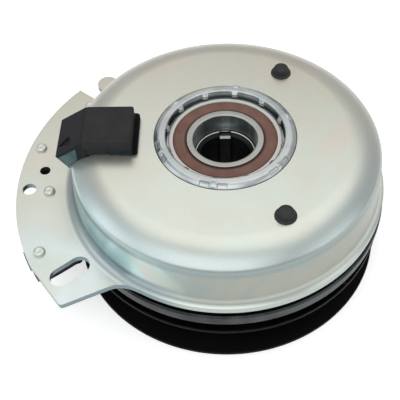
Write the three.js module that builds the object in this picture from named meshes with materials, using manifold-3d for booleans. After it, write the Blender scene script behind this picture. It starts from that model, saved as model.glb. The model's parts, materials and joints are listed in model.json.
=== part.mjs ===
// Electromagnetic power take-off clutch and brake, in millimetres, +Z up.
// The origin is on the shaft axis, in the plane of the field bearing's upper face.
// From the top down: the still field (cup, coil, connector, brake), the rotor on the engine shaft,
// the armature that the coil lifts onto the rotor, and the V-belt pulley that the armature turns.
import * as THREE from "three";
import { mergeVertices } from "three/addons/utils/BufferGeometryUtils.js";
import Module from "manifold-3d";

const wasm = await Module();
wasm.setup();

// Facets of the round parts near the shaft, near the rim, and sealed inside.
const SHAFT_FACETS = 36;
const RIM_FACETS = 40;
const SEALED_FACETS = 24;
const FIT = 0.15; // radial gap left between two turned pieces that are pressed together
const FACE_GAP = 0.1; // gap left between two flat faces that rest on each other
const SEAT = 0.3; // gap left between a piece and the turned or tilted neighbour it rests on

// Engine shaft: 1 1/8 inch with a 1/4 inch key.
const SHAFT_R = 14.29;
const KEY_WIDTH = 6.35;
const KEY_ANGLE = 90;
const KEY = { height: 4.6, length: 50, out: 13.9, z: -37.5 };
const KEYWAY = { height: 6, length: 70, out: 13.4, z: -39 };

// Both bearings are the sealed 35 x 62 x 20 size.
const BEARING_BORE_R = 17.5;
const BEARING_R = 31;
const BEARING_WIDTH = 20;
const BEARING_PITCH_R = 24.5;
const BALL_R = 4.2;
const BALLS = 7;
const INNER_LAND_R = 21.2;
const OUTER_LAND_R = 27.6;
const SEAL_R = 29.3;
const SEAL_DEPTH = 1.5;
const SEAL_FACES = [0.3, 1.4]; // a seal's own two faces, below the bearing's face
const RING_CHAMFER = 0.8;
const CAGE_HALF = { thick: 1.2, height: 6 };

// Field cup: pressed sheet with a flat top, a wide shoulder, a drafted wall and a turned-out rim.
const SHEET = 3.4;
const CUP_TOP_Z = 2.3;
const CUP_HOLE_R = 39.1;
const CROWN_R = 25.6; // slow curve from the flat top towards the shoulder
const CROWN_CENTRE_R = 67.3;
const CROWN_END = 50; // degrees above the horizontal where the crown meets the shoulder
const SHOULDER_R = 5.1;
const SHOULDER_CENTRE = [80.5, -7.6];
const WALL_FOOT_R = 87;
const RIM_FILLET_R = 6;
const FLANGE_Z = -31.6; // top of the ear
const RIM_R = 89.84;
const BLANK_R = 126; // the sheet before its rim is trimmed

// Ear: the part of the rim that stays wide, holds the brake and has the anti-rotation slot.
const EAR_CENTRE = [-0.9, -3];
const EAR_R = 119.3;
const EAR_START = [-103.7, -61.7];
const EAR_CORNER = { centre: [-84.7, -83.8], r: 2.4, from: 215, to: 293 };
const EAR_FOOT = [[-60.5, -75.1], [-54, -72.4], [-44.7, -78.1]]; // curve that runs into the round rim
const EAR_END = [-90.7, 71.9];
const EAR_ROOT = [[60, -120], [60, 141.5], [88, 141.5]]; // inside the rim, by radius and angle
const EAR_BLANK_Z = [-40, -26];
const TAB_ANGLE = 133.5;
const TAB_WIDTH = 12.8;
const TAB_TIP_R = 116;
const SLOT_ANGLE = -141.6;
const SLOT_WIDTH = 11.4;
const SLOT_REACH = [94, 117.2];
const THROUGH_Z = [-60, -20]; // how far the cutters for the ear and the brake reach
const SHOE_RIVETS = [[102.5, 145.6], [101.5, -173.8]]; // through ear, bar and shoe
const BAR_RIVETS = [[112.5, 168.4], [114, -152]]; // through ear and bar only
const RIVET_HOLE_R = 2.4;
const SIGHT_HOLE = { radius: 105.8, angle: 177.2, r: 3.1 };
const BOLT_HOLE = { radius: 113.2, angle: -175.5, r: 4 };

// Coil and its two retaining pegs, by radius and angle; a third peg would be under the connector.
const PEGS = [[59.3, 56.5], [63.4, -61.9]];
const PEG_SHANK_R = 3;
const PEG_FLANGE_R = 5.8;
const PEG_HEAD_R = 4.5;
const PEG_HEIGHT = 4.9;
const COIL_Z = [-30, -4.6];
const COIL_R = [46.5, 78.5];
const BOBBIN_WALL = 1.6;
const WINDING_R = 72;
const LAYER_GAP = 0.2;

// Inner pole: the tube inside the coil, with a ledge under the bearing and a lip over it.
const POLE_R = 41.5;
const POLE_END_Z = -32;
const POLE_TOP_Z = 4.5;
const POLE_LIP = { inner: 32.5, outer: 36.2, shoulder: [38, 3.7], foot: 38.8, over: -0.4 };
const POLE_LEDGE = { inner: 28.5, outer: 35.5, bottom: -22.5 };

// Rotor: the hub on the shaft and the disc pressed onto it.
const ROTOR_TOP_Z = -32.4;
const FRICTION_Z = -37.9;
const ROTOR_R = 84;
const HUB_DISC_R = 22;
const HUB_TOP_Z = -11.65;
const HUB_END_Z = -66;
const HUB_RELIEF = 0.75; // chamfer at the hub's upper end
const HUB_BODY_R = 20.8;
const HUB_COLLAR = { r: 26, top: -29.6 };
const CLIP_R = 21;
const CLIP_Z = [-64, -62.6];
const CLIP_GROOVE = { depth: 1, play: 0.2 };
const CLIP_GAP = { size: [12, 9, 4], centre: [0, -19, -63.3] };
const ROTOR_RIM_TOP_Z = -24;
const INNER_RIM_R = [42.3, 45.5];
const OUTER_RIM_R = [79.2, 82];
const ROTOR_STEP = { top: -33.4, bottom: -34.4 };
const FLUX_SLOT = { reach: [53, 56], span: 46, count: 6 };
const FRICTION_RING = { reach: [62, 68], top: -36.3 };

// Armature, and the brake that it rests on when it is released.
const ARMATURE_Z = [-46, -38.3];
const ARMATURE_R = [50, 90.5];
const ARMATURE_CHAMFER = [1.2, 0.6];
const RIVET_CLEARANCE_R = 3.3;
const BRAKE_ARC = [143, 215.2];
const BAR_REACH = [94, 117];
const BAR_LUGS = [{ angles: [-155.5, -149.8], outer: 121.8 }, { angles: [-149.2, -145.8], outer: 121.2 }];
const LUG_ROOT_R = 110;
const BAR_NOTCH = { radius: 113, angle: -177.7, r: 9.5 };
const BACKING_Z = [-38.3, -35];
const SHOE_END = 202;
const SHOE_REACH = [85, 107];
const SHOE_Z = [-49.5, -46.1];
const MAGNET_REACH = [93, 106];
const MAGNET_ARCS = [[151, 164], [-168, -155]];
const BRAKE_RIVET = { head: 3.4, height: 2.2, shank: 2.1, tail: 3.6, tailHeight: 1.2 };

// Pulley for a 17 mm wide V-belt, on its own bearing.
const PULLEY_R = 89.7;
const PULLEY_Z = [-79.6, -53.3];
const PULLEY_LIP = 2.4;
const GROOVE_FLOOR_R = 70.5;
const GROOVE_HALF_ANGLE = 18;
const PULLEY_WALL_R = 66;
const PULLEY_WEB_Z = [-59, -51];
const PULLEY_HUB_R = 37;
const PULLEY_HUB_Z = [-64.6, -43.4];
const PULLEY_LEDGE = { r: 28.5, z: -62.1 };
const PULLEY_BEARING_Z = -42;

// Leaf springs between the pulley and the armature.
const SPRING_CIRCLE_R = 60;
const SPRING_ANGLES = [30, 150, 270];
const SPRING_HALF_SPAN = 17;
const SPRING_THICK = 0.8;
const SPRING_WIDTH = 12;
const SPRING_OVERHANG = 6; // past each rivet
const SPRING_FLAT = 7; // from each rivet to the bend
const SPRING_RIVET = { shank: 2.7, hole: 2.9, head: 4.6, top: 4, height: 1.4, sink: 0.5 };

// Connector: a box on the cup's top whose nose bends down over the shoulder.
const PLUG_Y = [-13.7, 12.8];
const PLUG_TOP_Z = 12;
const PLUG_BACK_X = -50;
const PLUG_BEND_X = -76;
const NOSE_TIP = [-91.6, 1.9];
const NOSE_DEPTH = 11.5;
const PLUG_FOOT = [-70, -6];
const PLUG_BASE = { size: [10, 29.5, 4], centre: [-52, 0.4, 2.8] };
const SOCKET_WALL = 1.6;
const SOCKET_HEIGHT = 6.3;
const SOCKET_DEPTH = 12;
const BLADE = { thick: 0.8, width: 6.3, out: 4.5, in: 3, offset: 5.5 };

const MATERIALS = {
  zinc: [0xc6c6ba, 0.38, 0.85],
  steel: [0xa8aaab, 0.35, 0.9],
  bright: [0xc9cac8, 0.22, 0.95],
  dark_steel: [0x4a4b4c, 0.5, 0.8],
  black_paint: [0x0d0d0f, 0.35, 0.1],
  plastic: [0x333436, 0.55, 0],
  seal: [0x795c52, 0.7, 0],
  copper: [0xb06a3a, 0.4, 0.9],
  brass: [0xc2a45a, 0.35, 0.9],
  friction: [0x5a4a3c, 0.9, 0],
  magnet: [0x2a2a2c, 0.7, 0.1],
};

const clutch = new THREE.Group();

const rad = (degrees) => (degrees * Math.PI) / 180;
const polar = (radius, angle) => [radius * Math.cos(rad(angle)), radius * Math.sin(rad(angle))];

// Points on an arc round (x, y), between two angles in degrees, both ends included.
function arc(x, y, radius, from, to, steps) {
  const points = [];
  for (let i = 0; i <= steps; i++) {
    const [dx, dy] = polar(radius, from + ((to - from) * i) / steps);
    points.push([x + dx, y + dy]);
  }
  return points;
}

// A ring turned from a closed profile of [radius, z] points, listed either way round.
function turned(profile, facets) {
  const points = profile.map(([r, z]) => new THREE.Vector2(r, z));
  if (THREE.ShapeUtils.area(points) < 0) points.reverse();
  return new THREE.LatheGeometry([...points, points[0]], facets).rotateX(Math.PI / 2);
}

function tube(inner, outer, bottom, top, facets) {
  return turned([[inner, bottom], [inner, top], [outer, top], [outer, bottom]], facets);
}

// A solid of revolution that reaches the axis, from [radius, z] points listed from the top down.
function knob(profile, facets) {
  const points = profile.map(([r, z]) => new THREE.Vector2(r, z)).reverse();
  return new THREE.LatheGeometry(points, facets).rotateX(Math.PI / 2);
}

// An upright prism on a closed outline of [x, y] points.
function prism(outline, bottom, top) {
  const shape = new THREE.Shape(outline.map(([x, y]) => new THREE.Vector2(x, y)));
  const options = { depth: top - bottom, bevelEnabled: false };
  return new THREE.ExtrudeGeometry(shape, options).translate(0, 0, bottom);
}

// A prism that runs along Y, on a closed outline of [x, z] points.
function sideways(outline, from, to) {
  const flipped = outline.map(([x, z]) => [x, -z]);
  return prism(flipped, from, to).rotateX(-Math.PI / 2);
}

function disc(x, y, radius, bottom, top, facets) {
  return new THREE.CylinderGeometry(radius, radius, top - bottom, facets)
    .rotateX(Math.PI / 2)
    .translate(x, y, (bottom + top) / 2);
}

// A curved bar between two radii and two angles.
function arcBar(radii, angles, heights, steps) {
  const outside = arc(0, 0, radii[1], angles[0], angles[1], steps);
  const inside = arc(0, 0, radii[0], angles[1], angles[0], steps);
  return prism([...outside, ...inside], ...heights);
}

function solid(geometry) {
  const bare = geometry.clone();
  bare.deleteAttribute("normal");
  bare.deleteAttribute("uv");
  const merged = mergeVertices(bare, 1e-4);
  return new wasm.Manifold(
    new wasm.Mesh({
      numProp: 3,
      vertProperties: merged.attributes.position.array,
      triVerts: new Uint32Array(merged.index.array),
    }),
  );
}

function geometryOf(body) {
  const mesh = body.getMesh();
  const geometry = new THREE.BufferGeometry();
  geometry.setAttribute("position", new THREE.BufferAttribute(mesh.vertProperties, 3));
  geometry.setIndex(new THREE.BufferAttribute(mesh.triVerts, 1));
  geometry.computeVertexNormals();
  return geometry;
}

function cut(geometry, ...tools) {
  return geometryOf(tools.reduce((body, tool) => body.subtract(solid(tool)), solid(geometry)));
}

function add(name, geometry, materialName) {
  const [color, roughness, metalness] = MATERIALS[materialName];
  const material = new THREE.MeshStandardMaterial({ color, roughness, metalness });
  const mesh = new THREE.Mesh(geometry, material);
  mesh.name = name;
  clutch.add(mesh);
  return mesh;
}

// The cup's outer surface, pushed out by a distance, from the hole in its top to the wide flange.
function cupSkin(out, flangeR) {
  const crown = arc(CROWN_CENTRE_R, CUP_TOP_Z - CROWN_R, CROWN_R + out, 90, CROWN_END, 2);
  const shoulder = arc(...SHOULDER_CENTRE, SHOULDER_R + out, CROWN_END, 0, 2).slice(1);
  const fillet = arc(
    WALL_FOOT_R + RIM_FILLET_R,
    FLANGE_Z + RIM_FILLET_R,
    RIM_FILLET_R - out,
    180,
    270,
    4,
  );
  return [[CUP_HOLE_R, CUP_TOP_Z + out], ...crown, ...shoulder, ...fillet, [flangeR, FLANGE_Z + out]];
}

// The direction from one point to another, in degrees.
function bearingOf(from, to) {
  return (Math.atan2(to[1] - from[1], to[0] - from[0]) * 180) / Math.PI;
}

function earOutline() {
  const start = bearingOf(EAR_CENTRE, EAR_START) + 360;
  const edge = arc(...EAR_CENTRE, EAR_R, bearingOf(EAR_CENTRE, EAR_END), start, 16);
  const corner = arc(...EAR_CORNER.centre, EAR_CORNER.r, EAR_CORNER.from, EAR_CORNER.to, 3);
  const foot = new THREE.QuadraticBezierCurve(...EAR_FOOT.map(([x, y]) => new THREE.Vector2(x, y)));
  const blend = foot.getPoints(5).map((p) => [p.x, p.y]);
  const root = EAR_ROOT.map(([radius, angle]) => polar(radius, angle));
  return [...edge, ...corner, ...blend, ...root, EAR_END];
}

function tongue(angle, width, inner, outer, bottom, top) {
  const half = width / 2;
  const round = arc(outer - half, 0, half, -90, 90, 8);
  const shape = prism([[inner, -half], ...round, [inner, half]], bottom, top);
  return shape.rotateZ(rad(angle));
}

// The slot's own shape, made wider all round by a margin.
function slotCutter(margin) {
  const [inner, outer] = SLOT_REACH;
  const half = SLOT_WIDTH / 2;
  const far = arc(outer - half, 0, half + margin, -90, 90, 7);
  const near = arc(inner + half, 0, half + margin, 90, 270, 7);
  return prism([...far, ...near], ...THROUGH_Z).rotateZ(rad(SLOT_ANGLE));
}

function holeCutter(radius, angle, r) {
  return disc(...polar(radius, angle), r, ...THROUGH_Z, 14);
}

function rivetHoles(places) {
  return places.map(([radius, angle]) => holeCutter(radius, angle, RIVET_HOLE_R));
}

function fieldShell() {
  const outside = cupSkin(0, BLANK_R);
  const inside = cupSkin(-SHEET, BLANK_R).reverse();
  const wide = solid(turned([...outside, ...inside], RIM_FACETS));
  const [low, high] = EAR_BLANK_Z;
  const kept = solid(disc(0, 0, RIM_R, low, CUP_TOP_Z + SHEET, RIM_FACETS))
    .add(solid(prism(earOutline(), low, high)))
    .add(solid(tongue(TAB_ANGLE, TAB_WIDTH, RIM_R / 2, TAB_TIP_R, low, high)));
  const pegHole = PEG_SHANK_R + SEAT;
  const cutters = [
    slotCutter(0),
    ...rivetHoles([...SHOE_RIVETS, ...BAR_RIVETS]),
    holeCutter(SIGHT_HOLE.radius, SIGHT_HOLE.angle, SIGHT_HOLE.r),
    holeCutter(BOLT_HOLE.radius, BOLT_HOLE.angle, BOLT_HOLE.r),
    ...PEGS.map((place) => disc(...polar(...place), pegHole, COIL_Z[1], CUP_TOP_Z + SHEET, 12)),
  ];
  add("field_shell", cut(geometryOf(wide.intersect(kept)), ...cutters), "zinc");
}

// Inner pole: a turned tube that carries the bearing and is staked over it.
function innerPole() {
  const { inner, outer, bottom } = POLE_LEDGE;
  const lip = POLE_LIP;
  const seatZ = -BEARING_WIDTH - SEAT;
  const shelf = CUP_TOP_Z - SHEET - SEAT;
  const profile = [
    [inner, bottom], [inner, seatZ], [BEARING_R + FIT, seatZ], [BEARING_R + FIT, lip.over],
    [lip.inner, lip.over], [lip.inner, POLE_TOP_Z], [lip.outer, POLE_TOP_Z], lip.shoulder,
    [lip.foot, CUP_TOP_Z], [lip.foot, shelf], [POLE_R, shelf], [POLE_R, POLE_END_Z],
    [outer, POLE_END_Z], [outer, bottom],
  ];
  add("field_inner_pole", turned(profile, SHAFT_FACETS), "bright");
}

function coil() {
  const [bottom, top] = COIL_Z;
  const [inner, outer] = COIL_R;
  const core = inner + BOBBIN_WALL;
  const low = bottom + BOBBIN_WALL;
  const high = top - BOBBIN_WALL;
  const rim = outer - 2; // the upper flange stays clear of the cup's shoulder
  const shape = [
    [inner, bottom], [inner, top], [rim, top], [rim, high],
    [core, high], [core, low], [outer, low], [outer, bottom],
  ];
  const heights = [low + LAYER_GAP, high - LAYER_GAP];
  add("coil_bobbin", turned(shape, SEALED_FACETS), "plastic");
  add("coil_winding", tube(core + LAYER_GAP, WINDING_R, ...heights, SEALED_FACETS), "copper");
  add("coil_potting", tube(WINDING_R + 2 * LAYER_GAP, rim, ...heights, SEALED_FACETS), "plastic");
}

// A retaining peg: domed head with a flange on the cup's top, shank through the sheet.
function coilPegs() {
  const seat = CUP_TOP_Z;
  const top = seat + PEG_HEIGHT;
  const foot = COIL_Z[1] + FACE_GAP;
  const profile = [
    [0, top], [PEG_HEAD_R - 1.4, top - 0.3], [PEG_HEAD_R - 0.2, top - 1.1], [PEG_HEAD_R, seat + 1.1],
    [PEG_FLANGE_R, seat + 0.9], [PEG_FLANGE_R, seat], [PEG_SHANK_R, seat], [PEG_SHANK_R, foot],
    [0, foot],
  ];
  PEGS.forEach((place, i) => {
    const [x, y] = polar(...place);
    add("coil_peg_" + (i + 1), knob(profile, 12), "plastic").position.set(x, y, 0);
  });
}

// One sealed ball bearing whose upper face is at top; the names start with its own.
function bearing(name, top) {
  const middle = top - BEARING_WIDTH / 2;
  const bottom = top - BEARING_WIDTH;
  const grooveR = BALL_R + 0.5; // clear of the ball, whose facets are coarse
  const innerGroove = arc(BEARING_PITCH_R, middle, grooveR, 221, 139, 2);
  const outerGroove = arc(BEARING_PITCH_R, middle, grooveR, 44, -44, 2);
  const corner = BEARING_BORE_R + RING_CHAMFER;
  const inner = [
    [BEARING_BORE_R, bottom + RING_CHAMFER], [BEARING_BORE_R, top - RING_CHAMFER],
    [corner, top], [INNER_LAND_R, top], ...innerGroove.reverse(),
    [INNER_LAND_R, bottom], [corner, bottom],
  ];
  const outer = [
    [SEAL_R, bottom], [SEAL_R, bottom + SEAL_DEPTH], [OUTER_LAND_R, bottom + SEAL_DEPTH],
    ...outerGroove.reverse(), [OUTER_LAND_R, top - SEAL_DEPTH], [SEAL_R, top - SEAL_DEPTH], [SEAL_R, top],
    [BEARING_R, top], [BEARING_R, bottom],
  ];
  add(name + "_inner_ring", turned(inner, SHAFT_FACETS), "bright");
  add(name + "_outer_ring", turned(outer, SHAFT_FACETS), "bright");
  const seal = [INNER_LAND_R + 0.4, SEAL_R - 0.3];
  const [near, far] = SEAL_FACES;
  add(name + "_seal_upper", tube(...seal, top - far, top - near, SEALED_FACETS), "seal");
  add(name + "_seal_lower", tube(...seal, bottom + near, bottom + far, SEALED_FACETS), "seal");
  const pockets = [];
  for (let i = 0; i < BALLS; i++) {
    const [x, y] = polar(BEARING_PITCH_R, (360 * i) / BALLS);
    pockets.push(new THREE.SphereGeometry(BALL_R + 0.4, 8, 6).translate(x, y, middle));
    add(name + "_ball_" + (i + 1), new THREE.SphereGeometry(BALL_R, 8, 6), "bright")
      .position.set(x, y, middle);
  }
  const { thick, height } = CAGE_HALF;
  const radii = [BEARING_PITCH_R - thick, BEARING_PITCH_R + thick];
  const band = tube(...radii, middle - height, middle + height, SEALED_FACETS);
  add(name + "_cage", cut(band, ...pockets), "brass");
}

// Hub: runs up inside the field bearing, carries the rotor disc and the pulley bearing.
function rotorHub() {
  const journal = BEARING_BORE_R - FIT;
  const upper = -BEARING_WIDTH - FACE_GAP;
  const lower = PULLEY_BEARING_Z + FACE_GAP;
  const groove = journal - CLIP_GROOVE.depth;
  const grooveZ = [CLIP_Z[0] - CLIP_GROOVE.play, CLIP_Z[1] + CLIP_GROOVE.play];
  const profile = [
    [SHAFT_R, HUB_END_Z], [SHAFT_R, HUB_TOP_Z - 2], [journal - HUB_RELIEF, HUB_TOP_Z],
    [journal, HUB_TOP_Z - HUB_RELIEF], [journal, upper], [HUB_BODY_R, upper],
    [HUB_BODY_R, HUB_COLLAR.top], [HUB_COLLAR.r, HUB_COLLAR.top], [HUB_COLLAR.r, ROTOR_TOP_Z],
    [HUB_DISC_R, ROTOR_TOP_Z], [HUB_DISC_R, FRICTION_Z], [HUB_BODY_R, FRICTION_Z],
    [HUB_BODY_R, lower], [journal, lower], [journal, grooveZ[1]], [groove, grooveZ[1]],
    [groove, grooveZ[0]], [journal, grooveZ[0]], [journal, HUB_END_Z],
  ];
  const keyway = new THREE.BoxGeometry(KEY_WIDTH + 2 * SEAT, KEYWAY.height, KEYWAY.length)
    .translate(0, KEYWAY.out, KEYWAY.z)
    .rotateZ(rad(KEY_ANGLE - 90));
  add("rotor_hub", cut(turned(profile, SHAFT_FACETS), keyway), "dark_steel");
  const key = new THREE.BoxGeometry(KEY_WIDTH, KEY.height, KEY.length)
    .translate(0, KEY.out, KEY.z)
    .rotateZ(rad(KEY_ANGLE - 90));
  add("hub_key", key, "steel");
  const clip = tube(groove + CLIP_GROOVE.play, CLIP_R, ...CLIP_Z, SHAFT_FACETS);
  const gap = new THREE.BoxGeometry(...CLIP_GAP.size).translate(...CLIP_GAP.centre);
  add("pulley_bearing_clip", cut(clip, gap), "dark_steel");
}

// Rotor disc: two rims reach up round the coil, and six slots part its two magnetic poles.
function rotorDisc() {
  const bore = HUB_DISC_R + FIT;
  const rimTop = ROTOR_RIM_TOP_Z;
  const [inner1, outer1] = INNER_RIM_R;
  const [inner2, outer2] = OUTER_RIM_R;
  const { reach, top } = FRICTION_RING;
  const recess = [reach[0] - LAYER_GAP, reach[1] + LAYER_GAP];
  const floor = top + FACE_GAP;
  const profile = [
    [bore, FRICTION_Z], [bore, ROTOR_TOP_Z], [inner1, ROTOR_TOP_Z], [inner1, rimTop],
    [outer1, rimTop], [outer1, ROTOR_TOP_Z], [inner2, ROTOR_TOP_Z], [inner2, rimTop],
    [outer2, rimTop], [outer2, ROTOR_STEP.top], [ROTOR_R, ROTOR_STEP.bottom], [ROTOR_R, FRICTION_Z],
    [recess[1], FRICTION_Z], [recess[1], floor], [recess[0], floor], [recess[0], FRICTION_Z],
  ];
  const slots = [];
  for (let i = 0; i < FLUX_SLOT.count; i++) {
    const from = (360 / FLUX_SLOT.count) * i;
    slots.push(arcBar(FLUX_SLOT.reach, [from, from + FLUX_SLOT.span], THROUGH_Z, 4));
  }
  add("rotor_disc", cut(turned(profile, RIM_FACETS), ...slots), "dark_steel");
  add("rotor_friction_ring", tube(...reach, FRICTION_Z, top, RIM_FACETS), "friction");
}

function armature() {
  const [bottom, top] = ARMATURE_Z;
  const [inner, outer] = ARMATURE_R;
  const [upper, lower] = ARMATURE_CHAMFER;
  const profile = [
    [inner, bottom], [inner, top], [outer - upper, top], [outer, top - upper],
    [outer, bottom + lower], [outer - lower, bottom],
  ];
  const holes = SPRING_ANGLES.map((angle) => {
    const [x, y] = polar(SPRING_CIRCLE_R, angle + SPRING_HALF_SPAN);
    return disc(x, y, RIVET_CLEARANCE_R, bottom - 1, top + 1, 12);
  });
  add("armature_plate", cut(turned(profile, RIM_FACETS), ...holes), "dark_steel");
}

// A leaf lies on the pulley's web at one end and rises to the underside of the armature.
function leafSprings() {
  const reach = SPRING_CIRCLE_R * Math.sin(rad(SPRING_HALF_SPAN));
  const low = PULLEY_WEB_Z[1] + FACE_GAP;
  const high = ARMATURE_Z[0] - FACE_GAP - SPRING_THICK;
  const end = reach + SPRING_OVERHANG;
  const bend = reach - SPRING_FLAT;
  const line = [[end, high], [bend, high], [-bend, low], [-end, low]];
  const upper = line.map(([x, z]) => [x, z + SPRING_THICK]).reverse();
  SPRING_ANGLES.forEach((angle, i) => {
    const strip = sideways([...line, ...upper], -SPRING_WIDTH / 2, SPRING_WIDTH / 2);
    const radius = SPRING_CIRCLE_R * Math.cos(rad(SPRING_HALF_SPAN));
    const holes = [-reach, reach].map((x) => disc(x, 0, SPRING_RIVET.hole, ...THROUGH_Z, 10));
    const leaf = cut(strip, ...holes).rotateZ(rad(90)).translate(radius, 0, 0);
    add("armature_spring_" + (i + 1), leaf.rotateZ(rad(angle)), "steel");
    springRivets(angle, i, low, high);
  });
}

function springRivets(angle, i, low, high) {
  const { shank, head, top, height, sink } = SPRING_RIVET;
  const end = ARMATURE_Z[1] - sink;
  const leaf = low + SPRING_THICK;
  const web = PULLEY_WEB_Z[0];
  const lifted = [
    [0, end], [shank, end], [shank, high], [head, high], [top, high - height], [0, high - height],
  ];
  const fixed = [
    [0, leaf + height], [top, leaf + height], [head, leaf], [shank, leaf],
    [shank, web], [head, web], [top, web - height], [0, web - height],
  ];
  const rivets = [["armature_rivet_", lifted, angle + SPRING_HALF_SPAN]];
  rivets.push(["pulley_rivet_", fixed, angle - SPRING_HALF_SPAN]);
  rivets.forEach(([name, profile, place]) => {
    const [x, y] = polar(SPRING_CIRCLE_R, place);
    add(name + (i + 1), knob(profile, 8), "steel").position.set(x, y, 0);
  });
}

function pulley() {
  const [bottom, top] = PULLEY_Z;
  const taper = (PULLEY_R - GROOVE_FLOOR_R) * Math.tan(rad(GROOVE_HALF_ANGLE));
  const seat = BEARING_R + FIT;
  const wall = PULLEY_WALL_R;
  const hub = PULLEY_HUB_R;
  const [webLow, webTop] = PULLEY_WEB_Z;
  const [hubLow, hubTop] = PULLEY_HUB_Z;
  const profile = [
    [PULLEY_LEDGE.r, hubLow], [PULLEY_LEDGE.r, PULLEY_LEDGE.z], [seat, PULLEY_LEDGE.z], [seat, hubTop],
    [hub, hubTop], [hub, webTop], [wall, webTop], [wall + 3, top], [PULLEY_R, top],
    [PULLEY_R, top - PULLEY_LIP], [GROOVE_FLOOR_R, top - PULLEY_LIP - taper],
    [GROOVE_FLOOR_R, bottom + PULLEY_LIP + taper], [PULLEY_R, bottom + PULLEY_LIP], [PULLEY_R, bottom],
    [wall, bottom], [wall, webLow], [hub, webLow], [hub, hubLow],
  ];
  const holes = SPRING_ANGLES.map((angle) => {
    const [x, y] = polar(SPRING_CIRCLE_R, angle - SPRING_HALF_SPAN);
    return disc(x, y, SPRING_RIVET.hole, webLow - 1, webTop + 1, 12);
  });
  add("pulley", cut(turned(profile, RIM_FACETS), ...holes), "black_paint");
}

// Brake: under the ear, a backing bar, two magnets and a shoe that the released armature rests on.
function brake() {
  const notch = holeCutter(BAR_NOTCH.radius, BAR_NOTCH.angle, BAR_NOTCH.r);
  const lugs = BAR_LUGS.map((lug) => solid(arcBar([LUG_ROOT_R, lug.outer], lug.angles, BACKING_Z, 2)));
  const plain = solid(arcBar(BAR_REACH, BRAKE_ARC, BACKING_Z, 8));
  const bar = geometryOf(lugs.reduce((body, lug) => body.add(lug), plain));
  const barHoles = rivetHoles([...SHOE_RIVETS, ...BAR_RIVETS]);
  add("brake_backing_bar", cut(bar, notch, slotCutter(SEAT), ...barHoles), "black_paint");
  const plate = arcBar(SHOE_REACH, [BRAKE_ARC[0], SHOE_END], SHOE_Z, 8);
  add("brake_shoe", cut(plate, ...rivetHoles(SHOE_RIVETS)), "black_paint");
  const heights = [SHOE_Z[1] + FACE_GAP, BACKING_Z[0] - FACE_GAP];
  MAGNET_ARCS.forEach((angles, i) => {
    add("brake_magnet_" + (i + 1), arcBar(MAGNET_REACH, angles, heights, 4), "magnet");
  });
}

function brakeRivets() {
  const seat = FLANGE_Z;
  const { head, height, shank, tail, tailHeight } = BRAKE_RIVET;
  const rivets = [
    ...SHOE_RIVETS.map((place) => [place, SHOE_Z[0]]),
    ...BAR_RIVETS.map((place) => [place, BACKING_Z[0]]),
  ];
  rivets.forEach(([place, under], i) => {
    const profile = [
      [0, seat + height], [head - 1.2, seat + height - 0.3], [head, seat], [shank, seat],
      [shank, under], [tail, under], [tail - 0.6, under - tailHeight], [0, under - tailHeight],
    ];
    const [x, y] = polar(...place);
    add("brake_rivet_" + (i + 1), knob(profile, 8), "zinc").position.set(x, y, 0);
  });
}

const NOSE_SLOPE = Math.atan2(PLUG_TOP_Z - NOSE_TIP[1], PLUG_BEND_X - NOSE_TIP[0]);

// A box in the nose's own directions: along is measured back from the mouth, down from the slope.
function noseBox(along, down, across) {
  const length = along[1] - along[0];
  const height = down[1] - down[0];
  const width = across[1] - across[0];
  return new THREE.BoxGeometry(length, width, height)
    .translate((along[0] + along[1]) / 2, (across[0] + across[1]) / 2, -(down[0] + down[1]) / 2)
    .rotateY(-NOSE_SLOPE)
    .translate(NOSE_TIP[0], 0, NOSE_TIP[1]);
}

function connector() {
  const middle = (PLUG_Y[0] + PLUG_Y[1]) / 2;
  const foot = [
    NOSE_TIP[0] + NOSE_DEPTH * Math.sin(NOSE_SLOPE),
    NOSE_TIP[1] - NOSE_DEPTH * Math.cos(NOSE_SLOPE),
  ];
  const outline = [
    [PLUG_BACK_X, 0], [PLUG_BACK_X, PLUG_TOP_Z], [PLUG_BEND_X, PLUG_TOP_Z], NOSE_TIP, foot, PLUG_FOOT,
  ];
  const base = new THREE.BoxGeometry(...PLUG_BASE.size).translate(...PLUG_BASE.centre);
  const cupShape = cupSkin(SEAT, BLANK_R);
  const low = THROUGH_Z[0];
  const cup = knob([[0, CUP_TOP_Z + SEAT], ...cupShape, [BLANK_R, low], [0, low]], RIM_FACETS * 2);
  const socket = [SOCKET_WALL, SOCKET_WALL + SOCKET_HEIGHT];
  const width = [PLUG_Y[0] + SOCKET_WALL, PLUG_Y[1] - SOCKET_WALL];
  const blades = [-1, 1].map((side) => middle + side * BLADE.offset);
  const level = SOCKET_WALL + SOCKET_HEIGHT / 2;
  const slot = { thick: BLADE.thick / 2 + LAYER_GAP, width: BLADE.width / 2 + LAYER_GAP };
  const slots = blades.map((y) =>
    noseBox(
      [SOCKET_DEPTH - 1, SOCKET_DEPTH + BLADE.in + LAYER_GAP],
      [level - slot.thick, level + slot.thick],
      [y - slot.width, y + slot.width],
    ),
  );
  const body = geometryOf(solid(sideways(outline, ...PLUG_Y)).add(solid(base)));
  const hollow = noseBox([-1, SOCKET_DEPTH], socket, width);
  add("connector_housing", cut(body, cup, hollow, ...slots), "plastic");
  blades.forEach((y, i) => {
    const blade = noseBox(
      [SOCKET_DEPTH - BLADE.out, SOCKET_DEPTH + BLADE.in],
      [level - BLADE.thick / 2, level + BLADE.thick / 2],
      [y - BLADE.width / 2, y + BLADE.width / 2],
    );
    add("connector_terminal_" + (i + 1), blade, "brass");
  });
}

fieldShell();
innerPole();
coil();
coilPegs();
connector();
brake();
brakeRivets();
bearing("field_bearing", 0);
bearing("pulley_bearing", PULLEY_BEARING_Z);
rotorHub();
rotorDisc();
armature();
leafSprings();
pulley();

export default clutch;
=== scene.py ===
"""The looks of the electromagnetic clutch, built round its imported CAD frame.

Sizes are in millimetres until a mesh is made. Every piece is named after the CAD node that it stands for.
"""

import json
import math

import bmesh
import bpy
from mathutils import Matrix, Vector


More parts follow.
